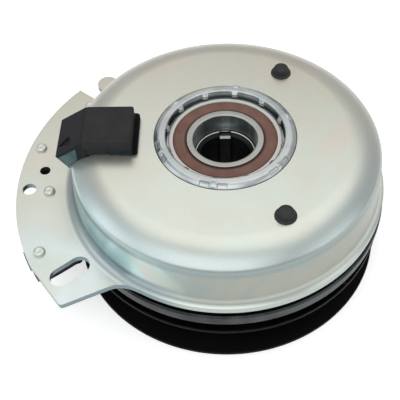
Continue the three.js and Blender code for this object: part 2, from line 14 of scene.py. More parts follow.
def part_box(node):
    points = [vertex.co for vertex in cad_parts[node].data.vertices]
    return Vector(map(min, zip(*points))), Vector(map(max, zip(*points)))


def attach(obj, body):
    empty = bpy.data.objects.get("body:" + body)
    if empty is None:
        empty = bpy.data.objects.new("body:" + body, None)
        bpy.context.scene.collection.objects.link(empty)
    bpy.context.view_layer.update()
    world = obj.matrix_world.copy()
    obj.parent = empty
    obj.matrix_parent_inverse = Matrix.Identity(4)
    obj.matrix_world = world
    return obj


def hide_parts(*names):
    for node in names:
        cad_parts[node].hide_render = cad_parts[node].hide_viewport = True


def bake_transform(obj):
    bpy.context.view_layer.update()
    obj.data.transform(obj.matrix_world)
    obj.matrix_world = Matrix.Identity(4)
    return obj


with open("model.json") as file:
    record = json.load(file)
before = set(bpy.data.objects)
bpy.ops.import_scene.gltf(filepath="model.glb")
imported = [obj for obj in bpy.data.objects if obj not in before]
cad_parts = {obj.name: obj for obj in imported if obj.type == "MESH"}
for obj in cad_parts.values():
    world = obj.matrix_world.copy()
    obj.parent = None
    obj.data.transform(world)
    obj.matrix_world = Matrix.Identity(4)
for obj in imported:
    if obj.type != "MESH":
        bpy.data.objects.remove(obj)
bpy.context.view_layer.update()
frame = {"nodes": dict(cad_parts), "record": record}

MM = 0.001
BEHAVIOUR = frame["record"]["behaviour"]
BODY_OF = {node: body for body, nodes in BEHAVIOUR["bodies"].items() for node in nodes}
SLOT_OF = {entry["node"]: entry["material_slot"] for entry in frame["record"]["subparts"]}

# ---------------------------------------------------------------- places from the frame


def low(node):
    """The lowest corner of a CAD node, in millimetres."""
    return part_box(node)[0] / MM


def high(node):
    """The highest corner of a CAD node, in millimetres."""
    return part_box(node)[1] / MM


def middle(node):
    return (low(node) + high(node)) / 2


def levels(node):
    """The bottom and the top of a CAD node."""
    return low(node).z, high(node).z


SHEET = 3.4
RIM_R = 89.84
LIP_R = 32.5
CUP_TOP = high("field_shell").z
SHOULDER_END = -7.6
FLANGE_TOP = low("field_shell").z + SHEET
POLE_TOP = high("field_inner_pole").z
POLE_BOTTOM = low("field_inner_pole").z
POLE_R = high("field_inner_pole").x
BEARING_R = high("field_bearing_outer_ring").x
FIELD_BEARING_TOP = high("field_bearing_outer_ring").z
PULLEY_BEARING_TOP = high("pulley_bearing_outer_ring").z
BEARING_WIDTH = FIELD_BEARING_TOP - low("field_bearing_outer_ring").z
HUB_TOP = high("rotor_hub").z
HUB_END = low("rotor_hub").z
ARMATURE_LOW = low("armature_plate").z
ARMATURE_TOP = high("armature_plate").z
ARMATURE_R = high("armature_plate").x
PULLEY_LOW = low("pulley").z
PULLEY_R = high("pulley").x
FLOOR_Z = low("pulley").z
BORE_R = 17.5
SEAL_R = 28.8
SEAT_GAP = 0.15
PLUG_MARGIN = 4.9
PLUG_SIDES = (low("connector_terminal_1").y - PLUG_MARGIN, high("connector_terminal_2").y + PLUG_MARGIN)
PLUG_BACK = -50.0
PLUG_TOP = high("connector_housing").z
PLUG_BEND = -76.0
NOSE_TIP = (-91.6, 1.9)
NOSE_SLOPE = math.atan2(PLUG_TOP - NOSE_TIP[1], PLUG_BEND - NOSE_TIP[0])

# ---------------------------------------------------------------- mesh making

MERGE_MM = 1e-4
CORNER_SHARE = 0.48
CLEAR = 1


def polar(radius, degrees):
    angle = math.radians(degrees)
    return radius * math.cos(angle), radius * math.sin(angle)


def arc(u, v, radius, start, end, steps):
    """Points on an arc round (u, v), both ends included, with the angles in degrees."""
    points = []
    for i in range(steps + 1):
        du, dv = polar(radius, start + (end - start) * i / steps)
        points.append((u + du, v + dv))
    return points


def curve(first, corner, last, steps):
    """Points on the curve that leaves the first point toward the corner and comes from it to the last."""
    points = []
    for k in range(steps + 1):
        t = k / steps
        points.append(tuple(first * (1 - t) ** 2 + corner * 2 * t * (1 - t) + last * t * t))
    return points


def rounded(points, steps=4):
    """A closed outline of (u, v) or (u, v, corner size) points, with each sized corner rounded."""
    outline = []
    for i, point in enumerate(points):
        corner = Vector(point[:2])
        if len(point) < 3:
            outline.append(tuple(corner))
            continue
        before = Vector(points[i - 1][:2]) - corner
        after = Vector(points[(i + 1) % len(points)][:2]) - corner
        reach = point[2] / math.tan(before.angle(after) / 2)
        reach = min(reach, CORNER_SHARE * before.length, CORNER_SHARE * after.length)
        first = corner + before.normalized() * reach
        last = corner + after.normalized() * reach
        outline += curve(first, corner, last, steps)
    return outline


def band(inner, outer, bottom, top, corner):
    """The outline of a plain ring with rounded corners."""
    return rounded([
        (inner, bottom, corner), (inner, top, corner), (outer, top, corner), (outer, bottom, corner),
    ], 3)


def new_object(name, bm):
    """Makes an object from a mesh in millimetres, with its faces pointing out."""
    bmesh.ops.remove_doubles(bm, verts=bm.verts, dist=MERGE_MM)
    bmesh.ops.recalc_face_normals(bm, faces=bm.faces)
    bm.transform(Matrix.Scale(MM, 4))
    mesh = bpy.data.meshes.new(name)
    bm.to_mesh(mesh)
    bm.free()
    made = bpy.data.objects.new(name, mesh)
    bpy.context.scene.collection.objects.link(made)
    return made


def lathe(name, profile, segments=160, shape=None, centre=(0, 0)):
    """Turns a closed (radius, z) outline, or an open one that starts and ends on the axis.
    shape(r, z, degrees) may move each point."""
    bm = bmesh.new()
    rings = []
    for k in range(segments):
        degrees = 360 * k / segments
        ring = []
        for r, z in profile:
            if shape:
                r, z = shape(r, z, degrees)
            x, y = polar(r, degrees)
            ring.append(bm.verts.new((x + centre[0], y + centre[1], z)))
        rings.append(ring)
    spans = len(profile) - (1 if profile[0][0] < 1e-6 else 0)
    for k in range(segments):
        here, there = rings[k], rings[(k + 1) % segments]
        for j in range(spans):
            n = (j + 1) % len(profile)
            bm.faces.new((here[j], there[j], there[n], here[n]))
    return new_object(name, bm)


def prism(name, outline, bottom, top):
    """An upright prism on a closed outline."""
    bm = bmesh.new()
    lower = [bm.verts.new((x, y, bottom)) for x, y in outline]
    upper = [bm.verts.new((x, y, top)) for x, y in outline]
    bm.faces.new(lower)
    bm.faces.new(upper)
    for i in range(len(outline)):
        n = (i + 1) % len(outline)
        bm.faces.new((lower[i], lower[n], upper[n], upper[i]))
    return new_object(name, bm)


def round_hole(centre, radius, bottom, top, sides=32):
    """A round prism to cut a hole with."""
    return prism("hole", arc(*centre, radius, 0, 360 * (sides - 1) / sides, sides - 1), bottom, top)


def raised(points, base):
    """A list of (radius, height) points with their heights measured up from a base."""
    return [(r, base + height) for r, height in points]


def straight(first, last, steps):
    """Points on a line, both ends included."""
    (u, v), (du, dv) = first, (last[0] - first[0], last[1] - first[1])
    return [(u + du * i / steps, v + dv * i / steps) for i in range(steps + 1)]


def block(name, size, matrix):
    """A box of that size round the origin, then placed by a matrix in millimetres."""
    bm = bmesh.new()
    bmesh.ops.create_cube(bm, size=1, matrix=matrix @ Matrix.Diagonal((*size, 1)))
    return new_object(name, bm)


def applied(made):
    graph = bpy.context.evaluated_depsgraph_get()
    mesh = bpy.data.meshes.new_from_object(made.evaluated_get(graph))
    made.modifiers.clear()
    made.data = mesh
    return made


def carve(made, operation, *tools):
    """Cuts, joins or keeps what the made object shares with the tools, which are used up."""
    for tool in tools:
        modifier = made.modifiers.new("carve", "BOOLEAN")
        modifier.operation = operation
        modifier.solver = "EXACT"
        modifier.object = tool
    applied(made)
    for tool in tools:
        bpy.data.objects.remove(tool)
    return made


def cut(made, *tools):
    return carve(made, "DIFFERENCE", *tools)


def together(name, parts):
    """Several objects that don't touch, as one."""
    bm = bmesh.new()
    for part in parts:
        bm.from_mesh(part.data)
        bpy.data.objects.remove(part)
    mesh = bpy.data.meshes.new(name)
    bm.to_mesh(mesh)
    bm.free()
    made = bpy.data.objects.new(name, mesh)
    bpy.context.scene.collection.objects.link(made)
    return made


def soften(made, width, segments=2, angle=40):
    """Rounds every edge sharper than the angle."""
    modifier = made.modifiers.new("soften", "BEVEL")
    modifier.width = width * MM
    modifier.segments = segments
    modifier.limit_method = "ANGLE"
    modifier.angle_limit = math.radians(angle)
    modifier.use_clamp_overlap = True
    return applied(made)


def stand_for(made, *nodes, sharp=42):
    """Gives a finished piece the body of the first CAD node that it stands for and the looks of that node's
    slot, and hides the nodes.
    """
    made.data.materials.clear()
    made.data.materials.append(LOOKS[SLOT_OF[nodes[0]]])
    made.data.shade_smooth()
    made.data.set_sharp_from_angle(angle=math.radians(sharp))
    weighted = made.modifiers.new("normals", "WEIGHTED_NORMAL")
    weighted.keep_sharp = True
    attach(made, BODY_OF[nodes[0]])
    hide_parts(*nodes)
    return made


def turned(node, profile, segments=160, shape=None, centre=(0, 0)):
    """A turned piece that stands for one CAD node."""
    return stand_for(lathe(node + ".fine", profile, segments, shape, centre), node)


# ---------------------------------------------------------------- materials


class Look:
    """A Principled material whose colour, roughness and bump come from noise in the object's own space."""

    def __init__(self, name, metallic=0.0, specular=0.5):
        self.material = bpy.data.materials.new(name)
        self.material.use_nodes = True
        self.tree = self.material.node_tree
        self.shader = self.tree.nodes["Principled BSDF"]
        self.shader.inputs["Metallic"].default_value = metallic
        self.shader.inputs["Specular IOR Level"].default_value = specular
        self.place = self.node("TexCoord").outputs["Object"]
        self.normal = None

    def link(self, source, socket):
        if isinstance(source, (int, float)):
            socket.default_value = source
        else:
            self.tree.links.new(source, socket)

    def node(self, kind):
        return self.tree.nodes.new("ShaderNode" + kind)

    def math(self, operation, a, b=0.0):
        node = self.node("Math")
        node.operation = operation
        self.link(a, node.inputs[0])
        self.link(b, node.inputs[1])
        return node.outputs[0]

    def scaled(self, x, y, z):
        node = self.node("Mapping")
        self.link(self.place, node.inputs["Vector"])
        node.inputs["Scale"].default_value = (x, y, z)
        return node.outputs[0]

    def axes(self):
        """The object's own x, y and z, and the distance from the Z axis."""
        parts = self.node("SeparateXYZ")
        self.link(self.place, parts.inputs[0])
        x, y, z = parts.outputs
        square = self.math("ADD", self.math("MULTIPLY", x, x), self.math("MULTIPLY", y, y))
        return x, y, z, self.math("SQRT", square)

    def rings(self, radial, axial):
        """Coordinates that are the same all the way round the Z axis, for the marks of turning."""
        _, _, z, radius = self.axes()
        joined = self.node("CombineXYZ")
        self.link(self.math("MULTIPLY", radius, radial), joined.inputs[0])
        self.link(self.math("MULTIPLY", z, axial), joined.inputs[2])
        return joined.outputs[0]

    def past(self, value, edge, soft):
        """0 where the value is short of an edge and 1 where it is past it, in millimetres."""
        node = self.node("MapRange")
        node.interpolation_type = "SMOOTHSTEP"
        self.link(value, node.inputs["Value"])
        node.inputs["From Min"].default_value = (edge - soft / 2) * MM
        node.inputs["From Max"].default_value = (edge + soft / 2) * MM
        return node.outputs["Result"]

    def short_of(self, value, edge, soft):
        """1 where the value is short of an edge and 0 where it is past it."""
        return self.math("SUBTRACT", 1.0, self.past(value, edge, soft))

    def all_of(self, first, *rest):
        """The product of some masks or shares."""
        for mask in rest:
            first = self.math("MULTIPLY", first, mask)
        return first

    def varied(self, value, share, base):
        """A base with a share of the value added to it."""
        return self.math("ADD", self.math("MULTIPLY", value, share), base)

    def turning(self, shade, colour, stain_scale=70, ring_scale=1500, share=0.22):
        """The tint and stain of turned steel: stains broken up by fine rings, which it also raises."""
        rings = self.noise(1, 3, vector=self.rings(ring_scale, ring_scale))
        stain = self.noise(stain_scale, 4)
        tint = self.ramp(stain, (0.35, shade), (0.62, colour))
        tint = self.mixed(share, tint, self.ramp(rings, (0.3, 0.55), (0.7, 1.0)), "MULTIPLY")
        self.bump(rings, 0.22, 0.015)
        self.bump(self.noise(500, 2), 0.08, 0.03)
        return tint, stain

    def moulding(self, marks, grain, rough):
        """Fine spark-eroded grain in the surface. It gives the roughness, which the marks vary."""
        grains = self.noise(grain, 3)
        self.bump(grains, 0.35, 0.04)
        self.bump(self.noise(60, 2), 0.08, 0.3)
        return self.varied(grains, 0.10, self.varied(marks, 0.18, rough))

    def noise(self, scale, detail=3, vector=None, distortion=0.0):
        node = self.node("TexNoise")
        self.link(vector or self.place, node.inputs["Vector"])
        node.inputs["Scale"].default_value = scale
        node.inputs["Detail"].default_value = detail
        node.inputs["Distortion"].default_value = distortion
        return node.outputs["Fac"]

    def ramp(self, value, *stops):
        """Colours or greys by value: each stop is (position, colour)."""
        node = self.node("ValToRGB")
        self.link(value, node.inputs[0])
        elements = node.color_ramp.elements
        while len(elements) < len(stops):
            elements.new(0.5)
        for element, (position, colour) in zip(elements, stops):
            element.position = position
            element.color = (*colour, 1) if isinstance(colour, tuple) else (colour, colour, colour, 1)
        return node.outputs[0]

    def mixed(self, factor, a, b, blend="MIX"):
        node = self.node("Mix")
        node.data_type = "RGBA"
        node.blend_type = blend
        self.link(factor, node.inputs["Factor"])
        for source, socket in ((a, node.inputs[6]), (b, node.inputs[7])):
            if isinstance(source, tuple):
                socket.default_value = (*source, 1)
            else:
                self.tree.links.new(source, socket)
        return node.outputs[2]

    def edges(self):
        """1 on convex edges, where paint wears, and 0 elsewhere."""
        geometry = self.node("NewGeometry")
        return self.ramp(geometry.outputs["Pointiness"], (0.51, 0.0), (0.56, 1.0))

    def upright(self):
        """How far a face is from level: 0 on a level face, 1 on a wall."""
        geometry = self.node("NewGeometry")
        parts = self.node("SeparateXYZ")
        self.link(geometry.outputs["True Normal"], parts.inputs[0])
        return self.math("SUBTRACT", 1.0, self.math("ABSOLUTE", parts.outputs[2]))

    def bump(self, height, strength, distance):
        node = self.node("Bump")
        node.inputs["Strength"].default_value = strength
        node.inputs["Distance"].default_value = distance * MM
        self.link(height, node.inputs["Height"])
        if self.normal:
            self.link(self.normal, node.inputs["Normal"])
        self.normal = node.outputs[0]

    def done(self, colour, roughness):
        self.link(colour, self.shader.inputs["Base Color"])
        self.link(roughness, self.shader.inputs["Roughness"])
        if self.normal:
            self.link(self.normal, self.shader.inputs["Normal"])
        return self.material


# A front-to-back wash, partly passivation tint and partly painted light: the back is painted warmer and
# darker.
COOL_WASH = (0.94, 0.99, 1.0)
WARM_WASH = (1.0, 0.955, 0.91)
# The crown's tints: a painted reflection tint, darker, and cooler toward the front where the crown's
# highlight falls.
COOL_CROWN = (0.545, 0.615, 0.605)
WARM_CROWN = (0.58, 0.575, 0.525)
EAR_HAZE = (0.66, 0.75, 0.78)
RIM_FILM = (0.43, 0.48, 0.45)
# Painted shade low in the fillet on the cup's left, and in the hollow at its foot.
FILLET_PAINTED_SHADE = (0.15, 0.21, 0.24)
FOOT_SHADE = (0.27, 0.35, 0.39)
BEND_SHADE = (0.22, 0.29, 0.30)
CLOUD_SCALE = 26


def wall_shade_and_tint(look, foot):
    """Painted shade for the cup's upright faces, with passivation tints in its patches: teal at the front
    left and warm elsewhere.
    """
    x, y, _, radius = look.axes()
    patches = look.noise(CLOUD_SCALE, 3, distortion=0.8)
    warm = look.ramp(
        patches, (0.32, (0.25, 0.29, 0.275)), (0.48, (0.30, 0.31, 0.27)), (0.66, (0.33, 0.315, 0.275)),
    )
    teal = look.ramp(
        patches, (0.32, (0.31, 0.47, 0.49)), (0.5, (0.49, 0.68, 0.68)), (0.66, (0.52, 0.57, 0.53)),
    )
    left = look.all_of(look.short_of(x, -32, 34), look.short_of(y, -8, 60))
    shade_layer = look.mixed(left, warm, teal)
    shade_layer = look.mixed(look.past(radius, RIM_R - 0.64, 0.6), shade_layer, RIM_FILM)
    # Painted shade low in the fillet at the left, where the wall meets the ear.
    return look.mixed(look.all_of(foot, 0.8), shade_layer, FILLET_PAINTED_SHADE)


def plating_and_painted_light(look, tint):
    """The cup's colour place by place: cooler in front, partly as passivation tint and partly as painted
    light; hazy passivation clouds on the ear; painted shade on its wall, in its bends and low in the fillet
    at the left; and a crown painted darker and cooler toward the front.
    """
    x, y, z, radius = look.axes()
    # Partly passivation tint, partly painted light: cooler in front, warmer and darker at the back.
    wash = look.mixed(look.past(y, 0, 150), COOL_WASH, WARM_WASH)
    tint = look.mixed(1.0, tint, wash, "MULTIPLY")
    # Painted reflection tint on the crown: darker, and cooler toward the front.
    crown = look.all_of(look.short_of(z, CUP_TOP - 2.4, 3.6), look.past(z, SHOULDER_END, 3))
    tint = look.mixed(crown, tint, look.mixed(look.short_of(y, -10, 90), WARM_CROWN, COOL_CROWN))
    clouds = look.ramp(look.noise(34, 2, distortion=0.6), (0.38, 0.15), (0.62, 0.85))
    ear = look.all_of(look.short_of(y, -42, 40), look.past(radius, 91, 3), clouds)
    tint = look.mixed(ear, tint, EAR_HAZE)
    foot = look.all_of(look.short_of(z, FLANGE_TOP + 7.5, 4), look.short_of(x, -28, 24))
    # Painted shade: the upright faces take the darker wall colours.
    tint = look.mixed(look.math("POWER", look.upright(), 1.15), tint, wall_shade_and_tint(look, foot))
    # Painted shade in the bend under the shoulder.
    bend = look.all_of(look.past(z, SHOULDER_END - 1.6, 2.4), look.short_of(z, SHOULDER_END + 2.4, 2.6))
    tint = look.mixed(look.all_of(bend, 0.65), tint, BEND_SHADE)
    # Painted shade in the hollow at the wall's foot.
    hollow = look.all_of(foot, look.past(z, FLANGE_TOP + 0.3, 0.6))
    return look.mixed(look.all_of(hollow, 0.5), tint, FOOT_SHADE)


def zinc(name, wall=True):
    """Zinc plate: pale, with broad warm and cool clouds of passivation and a fine crystalline grain."""
    look = Look(name, metallic=0.90)
    tint = look.ramp(
        look.noise(CLOUD_SCALE, 3, distortion=0.5),
        (0.3, (0.655, 0.640, 0.580)), (0.43, (0.665, 0.665, 0.605)),
        (0.55, (0.650, 0.680, 0.630)), (0.7, (0.690, 0.655, 0.600)),
    )
    if wall:
        tint = plating_and_painted_light(look, tint)
    grain = look.noise(1400, 3)
    tint = look.mixed(0.10, tint, look.ramp(grain, (0.35, 0.45), (0.65, 1.0)), "MULTIPLY")
    rough = look.varied(grain, 0.10, 0.27)
    blotch = look.math("MULTIPLY", look.noise(60, 3), 0.10)
    look.bump(look.noise(1, 4, vector=look.rings(900, 700)), 0.10, 0.02)
    look.bump(grain, 0.16, 0.02)
    look.bump(look.noise(90, 2), 0.06, 0.25)
    return look.done(tint, look.math("ADD", rough, blotch))


def machined(name, colour, shade, rough, ring_scale, spots=None):
    """Turned or ground metal: fine rings round the axis, and stains that break them up."""
    look = Look(name, metallic=1.0)
    tint, stain = look.turning(shade, colour, ring_scale=ring_scale)
    if spots:
        marks = look.ramp(look.noise(spots, 2), (0.66, 0.0), (0.72, 1.0))
        tint = look.mixed(look.math("MULTIPLY", marks, 0.5), tint, shade)
    return look.done(tint, look.varied(stain, 0.16, rough))


def staked_pole(name):
    """The bright turned pole ring, with painted shade down inside its lip and a painted reflection on the
    lip's inner wall at the back.
    """
    look = Look(name, metallic=0.92)
    _, y, z, radius = look.axes()
    tint, stain = look.turning((0.42, 0.46, 0.47), (0.55, 0.575, 0.58), stain_scale=90, share=0.25)
    # Painted shade down inside the lip, near-black at the sides; at the back a painted reflection, lighter
    # toward the top.
    inside = look.all_of(look.past(radius, LIP_R - 0.4, 0.5), look.short_of(radius, LIP_R + 0.6, 0.3))
    shaded_groove = look.all_of(look.short_of(z, 3.5, 1.0), inside)
    back = look.past(y, 21, 18)
    deep = look.mixed(back, (0.006, 0.009, 0.010), (0.075, 0.105, 0.115))
    shade_layer = look.mixed(look.past(z, 1.6, 2.4), deep, tint)
    tint = look.mixed(shaded_groove, tint, look.mixed(back, deep, shade_layer))
    rough = look.varied(stain, 0.16, 0.24)
    return look.done(tint, look.math("ADD", rough, look.math("MULTIPLY", shaded_groove, 0.3)))


def ground_ring(name):
    """Ground bearing steel: bright on its faces, and grey in its bore with painted reflection bands streaked
    along the axis.
    """
    look = Look(name, metallic=0.9)
    _, _, z, radius = look.axes()
    rings = look.noise(1, 3, vector=look.rings(2600, 2600))
    stain = look.noise(70, 4)
    tint = look.ramp(stain, (0.35, (0.35, 0.345, 0.33)), (0.62, (0.42, 0.415, 0.40)))
    tint = look.mixed(0.2, tint, look.ramp(rings, (0.3, 0.55), (0.7, 1.0)), "MULTIPLY")
    # Painted reflection: bright and dark bands along the axis in the bore.
    reflection_streaks = look.noise(95, 2, vector=look.scaled(1, 1, 0.02))
    bore = look.ramp(reflection_streaks, (0.38, (0.23, 0.27, 0.28)), (0.64, (0.60, 0.67, 0.68)))
    inside = look.short_of(radius, BORE_R + 0.12, 0.15)
    tint = look.mixed(inside, tint, bore)
    face = look.all_of(look.past(radius, SEAL_R - 0.3, 0.2), look.past(z, FIELD_BEARING_TOP - 1, 0.4))
    tint = look.mixed(face, tint, (0.63, 0.62, 0.59))
    metallic = look.math("SUBTRACT", 0.9, look.math("MULTIPLY", face, 0.7))
    look.link(metallic, look.shader.inputs["Metallic"])
    look.bump(rings, 0.2, 0.015)
    rough = look.varied(stain, 0.16, 0.20)
    matt = look.math("ADD", look.math("MULTIPLY", inside, 0.10), look.math("MULTIPLY", face, 0.3))
    return look.done(tint, look.math("ADD", rough, matt))


def hub_steel(name):
    """Dark machined steel, with a painted highlight on the thin edge of the hub's upper end."""
    look = Look(name, metallic=0.7)
    z = look.axes()[2]
    tint, stain = look.turning((0.008, 0.0085, 0.009), (0.020, 0.021, 0.022), ring_scale=1200)
    # Painted highlight: a thin bright ring on the hub's upper edge.
    tint = look.mixed(look.past(z, HUB_TOP - 0.32, 0.12), tint, (0.80, 0.78, 0.72))
    return look.done(tint, look.varied(stain, 0.16, 0.42))


def keyed(name):
    """Key steel: near-black as painted shade, with a painted highlight along the front edge of its upper end.
    """
    look = Look(name, metallic=0.7)
    _, y, z, _ = look.axes()
    marks = look.noise(160, 3)
    # Painted shade: the key's colour is kept near-black.
    tint = look.ramp(marks, (0.35, (0.018, 0.019, 0.019)), (0.65, (0.035, 0.036, 0.036)))
    # Painted highlight along the front edge of the key's upper end.
    front = look.short_of(y, low("hub_key").y + 1.9, 0.4)
    wear_and_glint = look.all_of(front, look.past(z, high("hub_key").z - 0.55, 0.3))
    tint = look.mixed(wear_and_glint, tint, (0.52, 0.52, 0.50))
    look.bump(look.noise(900, 3), 0.15, 0.02)
    return look.done(tint, look.varied(marks, 0.2, 0.32))


def seal_rubber(name):
    """Red-brown nitrile rubber, with painted shade, nearly black, along its inner edge in the gap by the
    inner ring.
    """
    look = Look(name, specular=0.2)
    radius = look.axes()[3]
    marks = look.noise(110, 4)
    tint = look.ramp(marks, (0.35, (0.150, 0.078, 0.060)), (0.72, (0.195, 0.105, 0.083)))
    # Painted shade along the seal's inner edge, in the gap by the inner ring.
    tint = look.mixed(look.short_of(radius, 22.4, 0.7), tint, (0.062, 0.036, 0.030))
    grains = look.noise(2200, 3)
    look.bump(grains, 0.35, 0.04)
    look.bump(look.noise(1, 2, vector=look.rings(900, 0)), 0.12, 0.05)
    return look.done(tint, look.varied(grains, 0.12, 0.50))


def housing_plastic(name):
    """Black moulded plastic, with a painted blue-grey sheen on the nose's side, painted teal shade low on its
    side and painted black shade on the base flange.
    """
    look = Look(name, specular=0.07)
    x, y, z, _ = look.axes()
    marks = look.noise(110, 4)
    tint = look.ramp(marks, (0.35, (0.026, 0.026, 0.026)), (0.72, (0.034, 0.034, 0.0345)))
    tint = look.mixed(look.short_of(x, PLUG_BEND, 1.5), tint, (0.019, 0.019, 0.023))
    side = look.short_of(y, PLUG_SIDES[0] + 0.7, 0.4)
    # Painted shade, teal, low on the connector's side.
    shaded_low_side = look.all_of(side, look.short_of(z, 6.5, 5), 0.6)
    tint = look.mixed(shaded_low_side, tint, (0.012, 0.026, 0.028))
    pitch = math.tan(NOSE_SLOPE)
    under_slope = NOSE_TIP[1] - NOSE_TIP[0] * pitch - 2.4
    height = look.math("SUBTRACT", z, look.math("MULTIPLY", x, pitch))
    # Painted sheen: the nose's side facet is painted lighter blue-grey, as if lit.
    lit_side = look.all_of(side, look.short_of(x, -80.0, 0.6), look.short_of(height, under_slope, 0.9))
    side_sheen = look.ramp(look.noise(130, 3), (0.3, (0.060, 0.100, 0.108)), (0.7, (0.115, 0.170, 0.175)))
    tint = look.mixed(lit_side, tint, side_sheen)
    # Painted shade: the base flange is painted black.
    tint = look.mixed(look.past(x, PLUG_BACK + 0.3, 0.3), tint, (0.003, 0.003, 0.003))
    return look.done(tint, look.moulding(marks, 1500, 0.38))


def polished(name, colour, rough):
    """Hard ground steel with hairline scratches."""
    look = Look(name, metallic=1.0)
    hair = look.noise(1, 2, vector=look.scaled(3000, 220, 220))
    look.bump(hair, 0.06, 0.01)
    tint = look.ramp(look.noise(200, 2), (0.3, tuple(0.88 * c for c in colour)), (0.6, colour))
    return look.done(tint, look.varied(hair, 0.12, rough))


def painted(name, colour, wear_and_glint, rough):
    """Black paint: an even orange-peel skin, dusty in places and thin on the edges."""
    look = Look(name, specular=0.05)
    dust = look.noise(55, 4)
    skin = look.ramp(dust, (0.35, colour), (0.7, tuple(1.7 * c for c in colour)))
    edge = look.all_of(look.edges(), look.ramp(look.noise(160, 3), (0.42, 0.0), (0.6, 0.6)))
    tint = look.mixed(edge, skin, wear_and_glint)
    look.bump(look.noise(420, 2), 0.10, 0.06)
    look.bump(look.noise(2600, 1), 0.05, 0.02)
    return look.done(tint, look.varied(dust, 0.22, rough))


def moulded(name, colour, light, rough, grain=1500, specular=0.5):
    """Moulded plastic or rubber, with handling marks."""
    look = Look(name, specular=specular)
    marks = look.noise(110, 4)
    tint = look.ramp(marks, (0.35, colour), (0.72, light))
    return look.done(tint, look.moulding(marks, grain, rough))


def wound(name):
    """Enamelled copper wire, layer on layer."""
    look = Look(name, metallic=0.75)
    rings = look.noise(1, 0, vector=look.rings(2600, 2600))
    tint = look.ramp(rings, (0.35, (0.30, 0.10, 0.03)), (0.6, (0.62, 0.26, 0.10)))
    look.bump(rings, 0.8, 0.3)
    return look.done(tint, look.varied(look.noise(200, 2), 0.2, 0.25))


RECIPES = {
    "zinc_sheet": (zinc,),
    "zinc_rivet": (zinc, False),
    "turned_steel": (staked_pole,),
    "bearing_steel": (ground_ring,),
    "dark_steel": (hub_steel,),
    "key_steel": (keyed,),
    "armature_steel": (machined, (0.066, 0.072, 0.075), (0.030, 0.032, 0.034), 0.30, 1100, 260),
    "spring_steel": (polished, (0.20, 0.22, 0.25), 0.28),
    "ball_steel": (polished, (0.80, 0.80, 0.80), 0.05),
    "terminal_brass": (polished, (0.72, 0.60, 0.34), 0.22),
    "cage_brass": (machined, (0.66, 0.50, 0.24), (0.45, 0.32, 0.14), 0.25, 900),
    "brake_black": (painted, (0.004, 0.004, 0.0045), (0.05, 0.05, 0.05), 0.38),
    "pulley_paint": (painted, (0.0012, 0.0012, 0.0015), (0.03, 0.03, 0.03), 0.34),
    "connector_plastic": (housing_plastic,),
    "peg_plastic": (moulded, (0.007, 0.009, 0.010), (0.014, 0.018, 0.020), 0.30, 1500, 0.4),
    "coil_plastic": (moulded, (0.015, 0.015, 0.016), (0.03, 0.03, 0.03), 0.45),
    "seal_rubber": (seal_rubber,),
    "magnet": (moulded, (0.035, 0.035, 0.037), (0.07, 0.07, 0.07), 0.55, 900),
    "friction_lining": (moulded, (0.07, 0.05, 0.035), (0.16, 0.11, 0.07), 0.75, 500),
    "copper_wire": (wound,),
}
LOOKS = {slot: make(slot + "_look", *details) for slot, (make, *details) in RECIPES.items()}

# ---------------------------------------------------------------- the still field

CUP_HOLE_R = 39.1
CROWN = (67.3, CUP_TOP - 25.6, 25.6)
CROWN_END = 50
SHOULDER = (80.5, SHOULDER_END, 5.1)
FILLET_R = 6
FILLET_CENTRE = (93, FLANGE_TOP + FILLET_R)
EAR_CENTRE = (-0.9, -3)
EAR_R = 119.3
EAR_START = (-103.7, -61.7)
EAR_CORNER = (-84.7, -83.8)
EAR_CORNER_R = 2.4
EAR_CORNER_SWEEP = (215, 293)
EAR_FOOT = (-60.5, -75.1)
EAR_FOOT_BEND = (-54, -72.4)
EAR_FOOT_END = (-44.7, -78.1)
EAR_END = (-90.7, 71.9)
EAR_ROOT = ((60, -120), (60, 141.5), (88, 141.5))
BLANK_R = 126
TAB = {"angle": 133.5, "width": 12.8, "tip": 116}
SLOT = {"angle": -141.6, "width": 11.4, "reach": (94, 117.2)}
SIGHT_HOLE = (105.8, 177.2, 3.1)
BOLT_HOLE = (113.2, -175.5, 4)
RIVET_R = 3.4
RIM_SEGMENTS = 288


def cup_skin(out, reach):
    """The cup's outer surface, pushed out by a distance, from the hole in its top to the flange."""
    crown = arc(CROWN[0], CROWN[1], CROWN[2] + out, 90, CROWN_END, 16)
    shoulder = arc(SHOULDER[0], SHOULDER[1], SHOULDER[2] + out, CROWN_END, 0, 8)[1:]
    fillet = arc(*FILLET_CENTRE, FILLET_R - out, 180, 270, 12)
    return [(CUP_HOLE_R, CUP_TOP + out), *crown, *shoulder, *fillet, (reach, FLANGE_TOP + out)]


def bearing_of(point, centre):
    """The direction of a point from a centre, in degrees."""
    return math.degrees(math.atan2(point[1] - centre[1], point[0] - centre[0]))


def ear_outline():
    """The ear's edge, its front corner and its foot, closed inside the cup's rim."""
    start = bearing_of(EAR_START, EAR_CENTRE) + 360
    end = bearing_of(EAR_END, EAR_CENTRE)
    edge = arc(*EAR_CENTRE, EAR_R, end, start, 72)
    corner = arc(*EAR_CORNER, EAR_CORNER_R, *EAR_CORNER_SWEEP, 8)
    foot = curve(Vector(EAR_FOOT), Vector(EAR_FOOT_BEND), Vector(EAR_FOOT_END), 16)
    return [*edge, *corner, *foot, *(polar(*place) for place in EAR_ROOT), EAR_END]


def turned_by(outline, degrees):
    angle = math.radians(degrees)
    c, s = math.cos(angle), math.sin(angle)
    return [(x * c - y * s, x * s + y * c) for x, y in outline]


def slot_prism(margin, bottom, top):
    """The anti-rotation slot's shape, made wider all round by a margin."""
    half = SLOT["width"] / 2
    near, far = SLOT["reach"]
    outer_end = arc(far - half, 0, half + margin, -90, 90, 14)
    inner_end = arc(near + half, 0, half + margin, 90, 270, 14)
    return prism("slot", turned_by([*outer_end, *inner_end], SLOT["angle"]), bottom, top)


